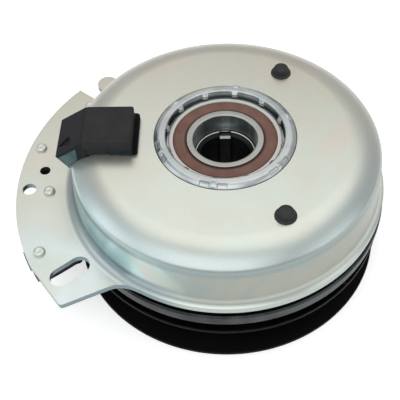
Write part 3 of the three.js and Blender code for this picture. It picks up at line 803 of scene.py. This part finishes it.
def field_shell():
    deep = FLANGE_TOP - 20
    tall = FLANGE_TOP + 6
    profile = [*cup_skin(0, BLANK_R), *reversed(cup_skin(-SHEET, BLANK_R))]
    shell = lathe("field_shell.fine", profile, RIM_SEGMENTS)
    round_part = [polar(RIM_R, (k + 0.5) * 360 / RIM_SEGMENTS) for k in range(RIM_SEGMENTS)]
    keep = prism("keep", round_part, deep, CUP_TOP + 9)
    half = TAB["width"] / 2
    tab_end = arc(TAB["tip"] - half, 0, half, -90, 90, 16)
    tab = turned_by([(60, -half), *tab_end, (60, half)], TAB["angle"])
    carve(keep, "UNION", prism("ear", ear_outline(), deep, tall), prism("tab", tab, deep, tall))
    carve(shell, "INTERSECT", keep)
    holes = [slot_prism(0, deep, tall)]
    for radius, degrees, size in (SIGHT_HOLE, BOLT_HOLE):
        holes.append(round_hole(polar(radius, degrees), size, deep, tall))
    cut(shell, together("holes", holes))
    soften(shell, 0.35, 2, 50)
    stand_for(shell, "field_shell", sharp=50)


STAKE_START = 20
STAKE_STEP = 30
STAKE_R = 32
STAKE_HALF_WIDTH = 1.8
STAKE_DEPTH = 1.5
STAKE_LEVELS = (0.5, 3.4)
CRIMPS = [-100 + 60 * k for k in range(6)]
CRIMP_R = 37.4
NOTCH_SPAN = (2.2, 7.4)
NOTCH_BAND = (36.2, 38.2)
NOTCH_DEPTH = 0.95
BEAD_HALF_WIDTH = 1.5
BEAD_BAND = (36.1, 38.9)
BEAD_HEIGHT = 0.55
POLE_BORE_R = 28.5
POLE_CROWN_R = (33.4, 35.6)
POLE_SHOULDER_R = 38.8
POLE_RECESS = (35.5, -22.5)


def step_up(value, edge, soft):
    """0 below the edge and 1 above it, with a soft change between."""
    t = min(max((value - edge) / soft + 0.5, 0), 1)
    return t * t * (3 - 2 * t)


def window(value, first, last, soft):
    """1 between two edges and 0 outside them, with soft changes."""
    return step_up(value, first, soft) * (1 - step_up(value, last, soft))


def pole_marks(r, z, degrees):
    """The stakes pressed inward over the bearing, and the crimps on the outer shoulder."""
    if z < -0.3:
        return r, z
    off = (degrees - STAKE_START + STAKE_STEP / 2) % STAKE_STEP - STAKE_STEP / 2
    stake = math.exp(-((math.radians(off) * STAKE_R / STAKE_HALF_WIDTH) ** 4))
    wall = 1 - step_up(r, LIP_R + 0.4, 0.5)
    r -= STAKE_DEPTH * stake * wall * window(z, *STAKE_LEVELS, 1.4)
    nearest = min(((degrees - crimp + 180) % 360 - 180 for crimp in CRIMPS), key=abs)
    side = math.radians(nearest) * CRIMP_R
    notch = window(abs(side), *NOTCH_SPAN, 0.35) * window(r, *NOTCH_BAND, 0.35)
    bead = math.exp(-((side / BEAD_HALF_WIDTH) ** 2)) * window(r, *BEAD_BAND, 1.2)
    z += BEAD_HEIGHT * bead - NOTCH_DEPTH * notch
    return r, z


def inner_pole():
    """Close points on the lip and crown let the stakes and crimps take shape."""
    seat_r = BEARING_R + SEAT_GAP
    seat = FIELD_BEARING_TOP - BEARING_WIDTH - 0.3
    under_cup = CUP_TOP - SHEET - 0.3
    recess_r, recess_top = POLE_RECESS
    inner, outer = POLE_CROWN_R
    lip = straight((LIP_R, -0.2), (LIP_R, 3.9), 12)
    lip += arc(inner - 0.1, 3.7, 0.8, 180, 90, 5)
    crown = straight((inner, POLE_TOP), (outer, POLE_TOP), 12)
    fall = []
    for i in range(17):
        t = i / 16
        fall.append((outer + (POLE_SHOULDER_R - outer) * t, POLE_TOP - 2.1 * t ** 1.9))
    profile = [
        (POLE_BORE_R, recess_top), (POLE_BORE_R, seat), (seat_r, seat), (seat_r, -0.4), (LIP_R, -0.4),
        *lip, *crown, *fall, (POLE_SHOULDER_R, under_cup), (POLE_R - 0.4, under_cup),
        (POLE_R, under_cup - 0.5), (POLE_R, POLE_BOTTOM + 0.6), (POLE_R - 0.6, POLE_BOTTOM),
        (recess_r + 0.5, POLE_BOTTOM), (recess_r, POLE_BOTTOM + 0.5), (recess_r, recess_top),
    ]
    turned("field_inner_pole", profile, 720, pole_marks)


COIL_R = (46.5, 78.5)
BOBBIN_WALL = 1.6
WIRE_ROWS = 18
WIRE_R = 71.6
POTTING_R = 72.4


def coil():
    inner, outer = COIL_R
    rim, core = outer - 2, inner + BOBBIN_WALL
    bottom, top = levels("coil_bobbin")
    bobbin = rounded([
        (inner, bottom, 0.4), (inner, top, 0.4), (rim, top, 0.4), (rim, top - BOBBIN_WALL, 0.3),
        (core, top - BOBBIN_WALL, 0.6), (core, bottom + BOBBIN_WALL, 0.6),
        (outer, bottom + BOBBIN_WALL, 0.3), (outer, bottom, 0.4),
    ])
    turned("coil_bobbin", bobbin)
    first, last = levels("coil_winding")
    pitch = (last - first) / WIRE_ROWS
    wires = []
    for i in range(WIRE_ROWS):
        wires += arc(WIRE_R, first + pitch * (i + 0.5), pitch / 2 - 0.02, -80, 80, 5)
    turned("coil_winding", [(core + 0.2, last), (core + 0.2, first), *wires], 96)
    first, last = levels("coil_potting")
    potting = [(POTTING_R, first, 0.3), (rim, first, 0.8), (rim, last, 0.8), (POTTING_R, last, 0.3)]
    turned("coil_potting", rounded(potting))


PEG_EDGE = ((3.5, -0.5), (3.9, -0.85), (4.15, -1.3), (4.25, -1.9))
PEG_SKIRT = (
    (4.45, 1.35), (4.6, 1.05), (4.95, 0.95), (5.45, 0.8), (5.72, 0.55), (5.78, 0.2), (5.74, 0.02), (3, 0),
)
RIVET_HEAD = (
    (0, 2.0), (0.9, 2.03), (1.5, 2.14), (1.9, 2.16), (2.4, 2.02), (2.85, 1.7), (3.15, 1.2), (3.3, 0.6),
    (RIVET_R, 0.15), (RIVET_R, 0.02), (2.1, 0),
)
RIVET_TAIL = (
    (2.1, 1.2), (3.4, 1.2), (3.6, 0.8), (3.3, 0.3), (2.6, 0.02), (1.2, 0), (0.8, 0.5), (0, 0.5),
)


def coil_pegs():
    """Domed plastic pegs: a flange on the cup, a drafted barrel and a crowned top."""
    for node in ("coil_peg_1", "coil_peg_2"):
        foot, top = levels(node)
        crown = [(0.6 * i, top - 0.05 * i * i / 4) for i in range(6)]
        barrel = raised(PEG_EDGE, top) + raised(PEG_SKIRT, CUP_TOP)
        turned(node, [*crown, *barrel, (3, foot), (0, foot)], 64, centre=middle(node)[:2])


def brake_rivets():
    for i in range(1, 5):
        node = f"brake_rivet_{i}"
        profile = raised(RIVET_HEAD, FLANGE_TOP) + raised(RIVET_TAIL, low(node).z)
        turned(node, profile, 48, centre=middle(node)[:2])


def arc_bar(name, inner, outer, start, end, bottom, top, corner=2.0):
    """A curved bar with rounded corners in plan."""
    turn = math.degrees(corner / outer)
    steps = 40
    outline = [
        *arc(0, 0, outer, start + turn, end - turn, steps),
        polar(outer - corner, end),
        polar(inner + corner, end),
        *arc(0, 0, inner, end - turn, start + turn, steps),
        polar(inner + corner, start),
        polar(outer - corner, start),
    ]
    return prism(name, outline, bottom, top)


def bar_for(node, corner=2.0, radii=None):
    """A curved bar in the place of a CAD node, between its own radii or those given."""
    places = [v.co for v in frame["nodes"][node].data.vertices]
    found = [math.hypot(p.x, p.y) / MM for p in places]
    angles = [math.degrees(math.atan2(p.y, p.x)) % 360 for p in places]
    inner, outer = radii or (min(found), max(found))
    return arc_bar(node + ".fine", inner, outer, min(angles), max(angles), *levels(node), corner)


BAR_RADII = (94, 117)
BAR_LUGS = ((-155.5, -149.8, 121.8), (-149.2, -145.8, 121.2))
LUG_ROOT_R = 110
BAR_NOTCH = (113, -177.7, 9.5)


def brake():
    stand_for(soften(bar_for("brake_shoe"), 0.4), "brake_shoe")
    bottom, top = levels("brake_backing_bar")
    bar = bar_for("brake_backing_bar", radii=BAR_RADII)
    for first, last, reach in BAR_LUGS:
        carve(bar, "UNION", arc_bar("lug", LUG_ROOT_R, reach, first, last, bottom, top, 0.6))
    through = (bottom - CLEAR, top + CLEAR)
    notch = round_hole(polar(*BAR_NOTCH[:2]), BAR_NOTCH[2], *through, 48)
    cut(bar, together("notches", [notch, slot_prism(0.3, *through)]))
    stand_for(soften(bar, 0.4), "brake_backing_bar")
    for node in ("brake_magnet_1", "brake_magnet_2"):
        stand_for(soften(bar_for(node, 1.0), 0.35), node)


# ---------------------------------------------------------------- connector

NOSE_DEPTH = 11.5
SOCKET = {"wall": 1.6, "height": 6.3, "depth": 12}
LATCH = ((1.0, -7.8), (7.8, -3.6), (11.0, -8.2), (8.6, -10.4))
LATCH_DEPTH = 1.15
PLUG_BASE = {"x": (-58, -47), "z": (0.9, 4.8)}
PLUG_RECESS = {"size": (13, 1.4, 5.4), "x": -68.5, "z": 4.4}
BLADE_WIDTH = 6.3
BLADE_THICK = 0.8


def nose_matrix(along, down, across):
    """A place in the nose's own directions: back from the mouth, down from the slope, and across."""
    tip = Matrix.Translation((NOSE_TIP[0], 0, NOSE_TIP[1]))
    turn = Matrix.Rotation(-NOSE_SLOPE, 4, "Y")
    return tip @ turn @ Matrix.Translation((along, across, -down))


def nose_block(name, along, down, across):
    """A box between two places in each of the nose's directions."""
    size = (along[1] - along[0], across[1] - across[0], down[1] - down[0])
    centre = nose_matrix(sum(along) / 2, sum(down) / 2, sum(across) / 2)
    return block(name, size, centre)


def sideways(name, outline, first, last):
    """A prism along Y on an outline of (x, z) points."""
    made = prism(name, [(x, -z) for x, z in outline], first, last)
    made.data.transform(Matrix.Rotation(-math.pi / 2, 4, "X"))
    return made


def latch_pocket():
    """The small three-sided window in the slope that the mating plug's latch snaps into."""
    pocket = prism("latch", LATCH, -LATCH_DEPTH, CLEAR)
    turn = nose_matrix(0, 0, 0)
    turn.translation *= MM
    pocket.data.transform(turn)
    return pocket


def connector():
    near, far = PLUG_SIDES
    wall, depth = SOCKET["wall"], SOCKET["depth"]
    foot = (
        NOSE_TIP[0] + NOSE_DEPTH * math.sin(NOSE_SLOPE),
        NOSE_TIP[1] - NOSE_DEPTH * math.cos(NOSE_SLOPE),
    )
    outline = rounded([
        (PLUG_BACK, 0), (PLUG_BACK, PLUG_TOP, 1.6), (PLUG_BEND, PLUG_TOP, 5), (*NOSE_TIP, 0.8),
        (*foot, 1.0), (-70, -6),
    ], 6)
    body = sideways("connector_housing.fine", outline, near, far)
    (x0, x1), y0, y1 = PLUG_BASE["x"], low("connector_housing").y, high("connector_housing").y
    base = rounded([(x0, y0, 1.5), (x1, y0, 2.5), (x1, y1, 2.5), (x0, y1, 1.5)])
    carve(body, "UNION", prism("base", base, *PLUG_BASE["z"]))
    skin = [(0, CUP_TOP + 0.3), *cup_skin(0.3, 120), (120, -50), (0, -50)]
    cut(body, lathe("cup", skin, RIM_SEGMENTS))
    socket = nose_block("socket", (-CLEAR, depth), (wall, wall + SOCKET["height"]), (near + wall, far - wall))
    cut(body, socket)
    place = Matrix.Translation((PLUG_RECESS["x"], near, PLUG_RECESS["z"]))
    cut(body, block("recess", PLUG_RECESS["size"], place))
    cut(body, latch_pocket())
    soften(body, 0.45, 3, 35)
    stand_for(body, "connector_housing", sharp=48)
    level = wall + SOCKET["height"] / 2
    down = (level - BLADE_THICK / 2, level + BLADE_THICK / 2)
    for node in ("connector_terminal_1", "connector_terminal_2"):
        across = (middle(node).y - BLADE_WIDTH / 2, middle(node).y + BLADE_WIDTH / 2)
        blade = nose_block(node + ".fine", (depth - 4.5, depth + 3), down, across)
        stand_for(soften(blade, 0.25), node)


# ---------------------------------------------------------------- bearings

INNER_LAND_R = 21.2
OUTER_LAND_R = 27.6
PITCH_R = 24.5
BALL_R = 4.2
RING_SEGMENTS = 192
# A seal's ribs: how far each is from its inner or outer edge, and how deep below the bearing's face.
SEAL_INNER = ((0, 0.75), (0.7, 0.75), (0.95, 0.62), (1.3, 0.52), (1.7, 0.34))
SEAL_OUTER = ((-1.2, 0.34), (-0.75, 0.46), (-0.5, 0.85), (0, 0.85), (0, 1.38))
SEAL_DEPTH = 1.38
SEAL_SEAT = 1.5


def sphere(name, place, radius, columns, rows):
    bm = bmesh.new()
    matrix = Matrix.Translation(place)
    bmesh.ops.create_uvsphere(bm, u_segments=columns, v_segments=rows, radius=radius, matrix=matrix)
    return new_object(name, bm)


def bearing(name, top):
    """Ground rings with radiused corners, ribbed seals, a pocketed cage and round balls."""
    bottom = top - BEARING_WIDTH
    centre = (top + bottom) / 2
    groove_in = arc(PITCH_R, centre, BALL_R + 0.4, 221, 139, 12)
    groove_out = arc(PITCH_R, centre, BALL_R + 0.4, 43, -43, 12)
    inner = rounded([(BORE_R, bottom, 1.0), (BORE_R, top, 1.0), (INNER_LAND_R, top, 0.3)], 6)
    inner += [*reversed(groove_in), (INNER_LAND_R, bottom + 0.2), (INNER_LAND_R - 0.2, bottom)]
    turned(name + "_inner_ring", inner, RING_SEGMENTS)
    low_seat, high_seat = bottom + SEAL_SEAT, top - SEAL_SEAT
    outer = rounded([
        (SEAL_R, bottom, 0.2), (SEAL_R, low_seat, 0.2), (OUTER_LAND_R, low_seat), *reversed(groove_out),
        (OUTER_LAND_R, high_seat), (SEAL_R, high_seat, 0.2), (SEAL_R, top, 0.2), (BEARING_R, top, 0.5),
        (BEARING_R, bottom, 0.5),
    ], 5)
    turned(name + "_outer_ring", outer, RING_SEGMENTS)
    first, last = INNER_LAND_R + SEAT_GAP, SEAL_R - SEAT_GAP
    ribs = [(first + r, depth) for r, depth in SEAL_INNER] + [(last + r, depth) for r, depth in SEAL_OUTER]
    for side, face, into in (("upper", top, -1), ("lower", bottom, 1)):
        seal = [(r, face + into * depth, 0.12) for r, depth in (*ribs, (first, SEAL_DEPTH))]
        turned(f"{name}_seal_{side}", rounded(seal, 2), RING_SEGMENTS)
    pockets = []
    for i in range(7):
        node = f"{name}_ball_{i + 1}"
        stand_for(sphere(node + ".fine", middle(node), BALL_R, 32, 20), node)
        pockets.append(sphere("pocket", middle(node), BALL_R + 0.35, 24, 16))
    cage = lathe(name + "_cage.fine", band(PITCH_R - 1.2, PITCH_R + 1.2, centre - 6, centre + 6, 0.3), 140)
    cut(cage, together("pockets", pockets))
    stand_for(cage, name + "_cage")


# ---------------------------------------------------------------- rotor

SHAFT_R = 14.29
KEY_WIDTH = 6.35
FRICTION_Z = low("rotor_friction_ring").z
ROTOR_TOP = -32.4
DISC_R = 22
JOURNAL_R = BORE_R - 0.15
HUB_R = 20.8
HUB_LEDGE = -20.1
HUB_FLANGE = (26, -29.6)
CLIP_GROOVE = (-64.2, -62.4)
CLIP_R = 21
INNER_WALL = (42.3, 45.5)
OUTER_WALL = (79.2, 82)
DISC_EDGE_R = 84
LINING_R = (62, 68)
LINING_TOP = -36.3
FLUX_SLOT_R = (53, 56)
FLUX_SLOT_SPAN = 46
FLUX_SLOT_CUT = (-45, -30)


def rotor_hub():
    seat = PULLEY_BEARING_TOP + 0.1
    flange_r, flange_top = HUB_FLANGE
    groove_low, groove_top = CLIP_GROOVE
    profile = rounded([
        (SHAFT_R, HUB_END, 0.8), (SHAFT_R, HUB_TOP - 2, 0.6), (JOURNAL_R - 0.75, HUB_TOP, 0.25),
        (JOURNAL_R, HUB_TOP - 0.75, 0.3), (JOURNAL_R, HUB_LEDGE, 0.3), (HUB_R, HUB_LEDGE, 0.4),
        (HUB_R, flange_top, 0.8), (flange_r, flange_top, 0.5), (flange_r, ROTOR_TOP), (DISC_R, ROTOR_TOP),
        (DISC_R, FRICTION_Z), (HUB_R, FRICTION_Z, 0.5), (HUB_R, seat, 0.3), (JOURNAL_R, seat, 0.2),
        (JOURNAL_R, groove_top), (JOURNAL_R - 1, groove_top), (JOURNAL_R - 1, groove_low),
        (JOURNAL_R, groove_low), (JOURNAL_R, HUB_END, 0.7),
    ], 4)
    hub = lathe("rotor_hub.fine", profile, RING_SEGMENTS)
    keyway = block("keyway", (KEY_WIDTH + 0.6, 6, 70), Matrix.Translation((0, 13.4, -39)))
    cut(hub, keyway)
    stand_for(hub, "rotor_hub")
    size = tuple(high("hub_key") - low("hub_key"))
    key = block("hub_key.fine", size, Matrix.Translation(middle("hub_key")))
    stand_for(soften(key, 0.35, 3), "hub_key")
    profile = band(JOURNAL_R - 0.8, CLIP_R, *levels("pulley_bearing_clip"), 0.2)
    clip = lathe("pulley_bearing_clip.fine", profile, 128)
    cut(clip, block("gap", (12, 9, 4), Matrix.Translation((0, -19, -63.3))))
    stand_for(clip, "pulley_bearing_clip")


def rotor_disc():
    rim = high("rotor_disc").z
    bore_r = DISC_R + 0.15
    inner, outer = LINING_R
    groove = (inner - 0.2, outer + 0.2)
    profile = rounded([
        (bore_r, FRICTION_Z, 0.2), (bore_r, ROTOR_TOP, 0.2), (INNER_WALL[0], ROTOR_TOP, 1),
        (INNER_WALL[0], rim, 0.5), (INNER_WALL[1], rim, 0.5), (INNER_WALL[1], ROTOR_TOP, 1),
        (OUTER_WALL[0], ROTOR_TOP, 1), (OUTER_WALL[0], rim, 0.5), (OUTER_WALL[1], rim, 0.5),
        (OUTER_WALL[1], -33.4, 0.4), (DISC_EDGE_R, -34.4, 0.6), (DISC_EDGE_R, FRICTION_Z, 0.5),
        (groove[1], FRICTION_Z, 0.2), (groove[1], LINING_TOP + 0.1), (groove[0], LINING_TOP + 0.1),
        (groove[0], FRICTION_Z, 0.2),
    ], 4)
    disc = lathe("rotor_disc.fine", profile, 240)
    slots = []
    for start in range(0, 360, 60):
        slots.append(arc_bar("slot", *FLUX_SLOT_R, start, start + FLUX_SLOT_SPAN, *FLUX_SLOT_CUT, 1.4))
    cut(disc, together("slots", slots))
    stand_for(disc, "rotor_disc")
    lining = [(inner, FRICTION_Z, 0.3), (inner, LINING_TOP), (outer, LINING_TOP), (outer, FRICTION_Z, 0.3)]
    turned("rotor_friction_ring", rounded(lining, 3), 200)


# ---------------------------------------------------------------- armature, springs and pulley

SPRING_CIRCLE_R = 60
SPRING_ANGLES = (30, 150, 270)
SPRING_HALF_SPAN = 17
SPRING_THICK = 0.8
SPRING_WIDTH = 12
LEAF_FLAT = 7
LEAF_GAP = 0.1
WEB_TOP = -51
WEB_LOW = -59
LEAF_FIRST = WEB_TOP + LEAF_GAP
LEAF_LAST = ARMATURE_LOW - LEAF_GAP - SPRING_THICK
ARMATURE_BORE_R = 50
FIXED_HEAD = ((0, 1.1), (1.4, 1.4), (2.6, 1.35), (3.9, 0.9), (4.5, 0.35), (4.55, 0.02), (2.7, 0))
FIXED_TAIL = ((2.7, 0), (4.4, 0), (4.3, -0.6), (3.6, -1.1), (1.5, -1.4), (0, -1.0))
LIFTED_HEAD = ((0, -0.4), (1.0, -0.4), (1.5, 0), (2.5, 0), (2.7, -0.3))
LIFTED_TAIL = ((2.7, 0), (4.55, -0.02), (4.5, -0.4), (3.8, -1.1), (1.5, -1.4), (0, -1.0))
PULLEY_LIP = 2.4
PULLEY_RIM_TOP = -53.3
PULLEY_HUB_R = 37
PULLEY_WALL_R = 66
GROOVE_FLOOR_R = 70.5
GROOVE_HALF_ANGLE = 18
BEARING_SHELF = {"radius": 28.5, "levels": (-64.6, -62.1)}


def rivet_holes(side, radius, bottom, top, sides):
    """The holes for the rivets at one end of each spring, on side -1 or 1 of its middle."""
    holes = []
    for angle in SPRING_ANGLES:
        place = polar(SPRING_CIRCLE_R, angle + side * SPRING_HALF_SPAN)
        holes.append(round_hole(place, radius, bottom - CLEAR, top + CLEAR, sides))
    return together("holes", holes)


def armature():
    seam = ARMATURE_TOP - 4.6
    lower_r = ARMATURE_R - 0.35
    profile = rounded([
        (ARMATURE_BORE_R, ARMATURE_LOW, 0.6), (ARMATURE_BORE_R, ARMATURE_TOP, 0.5),
        (ARMATURE_R - 0.9, ARMATURE_TOP, 0.5), (ARMATURE_R, ARMATURE_TOP - 0.9, 0.5),
        (ARMATURE_R, seam + 0.25, 0.15), (ARMATURE_R - 0.8, seam, 0.1), (lower_r, seam - 0.35, 0.15),
        (lower_r, ARMATURE_LOW + 0.6, 0.4), (ARMATURE_R - 1, ARMATURE_LOW, 0.4),
    ], 4)
    plate = lathe("armature_plate.fine", profile, 288)
    cut(plate, rivet_holes(1, 3.3, ARMATURE_LOW, ARMATURE_TOP, 32))
    stand_for(plate, "armature_plate")


def spring_height(x, reach):
    """The leaf's lower face: level at both ends and a smooth rise between."""
    return LEAF_FIRST + (LEAF_LAST - LEAF_FIRST) * step_up(x, 0, 2 * (reach - LEAF_FLAT))


def leaf_spring(node, angle):
    reach = SPRING_CIRCLE_R * math.sin(math.radians(SPRING_HALF_SPAN))
    distance = SPRING_CIRCLE_R * math.cos(math.radians(SPRING_HALF_SPAN))
    half, end = SPRING_WIDTH / 2, reach + 6
    columns, rows = 64, 8
    grid = []
    for i in range(columns + 1):
        x = -end + 2 * end * i / columns
        over = max(abs(x) - (end - half), 0)
        wide = max(math.sqrt(max(half * half - over * over, 0)), 0.8)
        grid.append([(x, wide * (2 * j / rows - 1)) for j in range(rows + 1)])
    bm = bmesh.new()
    layers = []
    for lift in (0, SPRING_THICK):
        layer = []
        for row in grid:
            layer.append([bm.verts.new((x, y, spring_height(x, reach) + lift)) for x, y in row])
        layers.append(layer)
    for layer in layers:
        for i in range(columns):
            for j in range(rows):
                bm.faces.new((layer[i][j], layer[i + 1][j], layer[i + 1][j + 1], layer[i][j + 1]))
    rim = [(i, 0) for i in range(columns + 1)] + [(columns, j) for j in range(1, rows + 1)]
    rim += [(i, rows) for i in range(columns - 1, -1, -1)] + [(0, j) for j in range(rows - 1, 0, -1)]
    under, over = layers
    for (i, j), (k, m) in zip(rim, rim[1:] + rim[:1]):
        bm.faces.new((under[i][j], under[k][m], over[k][m], over[i][j]))
    toward = Matrix.Rotation(math.radians(angle), 4, "Z")
    bm.transform(toward @ Matrix.Translation((distance, 0, 0)) @ Matrix.Rotation(math.radians(90), 4, "Z"))
    made = soften(new_object(node + ".fine", bm), 0.15, 2, 50)
    made.data.materials.append(LOOKS[SLOT_OF[node]])
    made.data.shade_smooth()
    made.data.set_sharp_from_angle(angle=math.radians(45))
    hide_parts(node)
    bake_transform(made)


def spring_rivets(number, angle):
    """The two rivets of one spring: one to the pulley's web, and one to the armature."""
    place = polar(SPRING_CIRCLE_R, angle - SPRING_HALF_SPAN)
    fixed = raised(FIXED_HEAD, LEAF_FIRST + SPRING_THICK) + raised(FIXED_TAIL, WEB_LOW)
    turned(f"pulley_rivet_{number}", fixed, 48, centre=place)
    place = polar(SPRING_CIRCLE_R, angle + SPRING_HALF_SPAN)
    lifted = raised(LIFTED_HEAD, ARMATURE_TOP - 0.5) + raised(LIFTED_TAIL, LEAF_LAST)
    turned(f"armature_rivet_{number}", lifted, 48, centre=place)


def pulley():
    """A turned pulley with a V-groove, a web and a seat for its bearing."""
    top, seat_r = high("pulley").z, BEARING_R + SEAT_GAP
    shelf_r, (shelf_low, shelf_top) = BEARING_SHELF["radius"], BEARING_SHELF["levels"]
    taper = (PULLEY_R - GROOVE_FLOOR_R) * math.tan(math.radians(GROOVE_HALF_ANGLE))
    groove_top, groove_low = PULLEY_RIM_TOP - PULLEY_LIP, PULLEY_LOW + PULLEY_LIP
    profile = rounded([
        (shelf_r, shelf_low, 0.5), (shelf_r, shelf_top, 0.3), (seat_r, shelf_top, 0.2), (seat_r, top, 0.6),
        (PULLEY_HUB_R, top, 1.0), (PULLEY_HUB_R, WEB_TOP, 1.6), (PULLEY_WALL_R, WEB_TOP, 1.2),
        (PULLEY_WALL_R + 3, PULLEY_RIM_TOP, 1.2), (PULLEY_R, PULLEY_RIM_TOP, 0.7),
        (PULLEY_R, groove_top, 0.7), (GROOVE_FLOOR_R, groove_top - taper, 1.2),
        (GROOVE_FLOOR_R, groove_low + taper, 1.2),
        (PULLEY_R, groove_low, 0.7), (PULLEY_R, PULLEY_LOW, 0.7), (PULLEY_WALL_R, PULLEY_LOW, 1.0),
        (PULLEY_WALL_R, WEB_LOW, 2.0), (PULLEY_HUB_R, WEB_LOW, 2.0), (PULLEY_HUB_R, shelf_low, 0.8),
    ], 6)
    made = lathe("pulley.fine", profile, 288)
    cut(made, rivet_holes(-1, 2.9, WEB_LOW, WEB_TOP, 24))
    stand_for(made, "pulley")


# ---------------------------------------------------------------- stage, lights and camera

FLOOR_GLOW = 0.42
WORLD_GLOW = 0.52
SOFTBOXES = (
    ("key", (-200, -800, 850), (1400, 900), 5.0, (0.97, 1.0, 1.0)),
    ("overhead", (60, 300, 950), (1300, 1000), 3.9, (1.0, 0.965, 0.90)),
    ("left_fill", (-950, -150, 420), (600, 600), 1.3, (0.93, 0.97, 1.0)),
    ("right_fill", (850, -350, 420), (600, 500), 0.9, (0.97, 1.0, 0.99)),
)
CAMERA_PLACE = (0, -295.3, 311.6)
CAMERA_TURN = (-0.03295, -0.07886, -0.01105)
LENS_MM = 70.3944


def stage():
    """A plain pale floor under the pulley, and a soft even surround."""
    bm = bmesh.new()
    bmesh.ops.create_grid(bm, x_segments=1, y_segments=1, size=4000)
    bm.transform(Matrix.Translation((0, 0, FLOOR_Z - 0.05)))
    floor = new_object("floor", bm)
    material = bpy.data.materials.new("floor_look")
    material.use_nodes = True
    shader = material.node_tree.nodes["Principled BSDF"]
    shader.inputs["Base Color"].default_value = (0.93, 0.93, 0.93, 1)
    shader.inputs["Roughness"].default_value = 0.9
    shader.inputs["Specular IOR Level"].default_value = 0.1
    shader.inputs["Emission Color"].default_value = (1, 1, 1, 1)
    shader.inputs["Emission Strength"].default_value = FLOOR_GLOW
    floor.data.materials.append(material)
    world = bpy.data.worlds.new("studio")
    world.use_nodes = True
    background = world.node_tree.nodes["Background"]
    background.inputs["Color"].default_value = (0.96, 0.98, 1.0, 1)
    background.inputs["Strength"].default_value = WORLD_GLOW
    bpy.context.scene.world = world


def softbox(name, place, size, power, tint):
    """A large soft light at a place in millimetres, aimed at the clutch."""
    data = bpy.data.lights.new(name, "AREA")
    data.shape = "RECTANGLE"
    data.size, data.size_y = size[0] * MM, size[1] * MM
    data.energy = power
    data.color = tint
    light = bpy.data.objects.new(name, data)
    light.location = Vector(place) * MM
    light.rotation_euler = (-Vector(place)).to_track_quat("-Z", "Y").to_euler()
    light.visible_camera = False
    bpy.context.scene.collection.objects.link(light)


def camera():
    """Looks at the middle of the frame, then turns by a small yaw, pitch and roll."""
    place = Vector(CAMERA_PLACE)
    yaw, pitch, roll = CAMERA_TURN
    ahead = -place.normalized()
    right = ahead.cross(Vector((0, 0, 1))).normalized()
    up = right.cross(ahead)
    ahead = (ahead + math.tan(yaw) * right + math.tan(pitch) * up).normalized()
    right = ahead.cross(up).normalized()
    up = right.cross(ahead)
    across = math.cos(roll) * right + math.sin(roll) * up
    above = math.cos(roll) * up - math.sin(roll) * right
    data = bpy.data.cameras.new("camera")
    data.sensor_width = 36
    data.lens = LENS_MM
    data.clip_start = 0.01
    data.clip_end = 20
    made = bpy.data.objects.new("camera", data)
    turn = Matrix((across, above, -ahead)).transposed().to_4x4()
    made.matrix_world = Matrix.Translation(place * MM) @ turn
    bpy.context.scene.collection.objects.link(made)
    bpy.context.scene.camera = made


camera()
stage()
for box in SOFTBOXES:
    softbox(*box)
field_shell()
inner_pole()
coil()
coil_pegs()
connector()
brake()
brake_rivets()
bearing("field_bearing", FIELD_BEARING_TOP)
bearing("pulley_bearing", PULLEY_BEARING_TOP)
rotor_hub()
rotor_disc()
armature()
for index, spring_angle in enumerate(SPRING_ANGLES, 1):
    leaf_spring(f"armature_spring_{index}", spring_angle)
    spring_rivets(index, spring_angle)
pulley()

bpy.context.scene.view_settings.view_transform = "Standard"
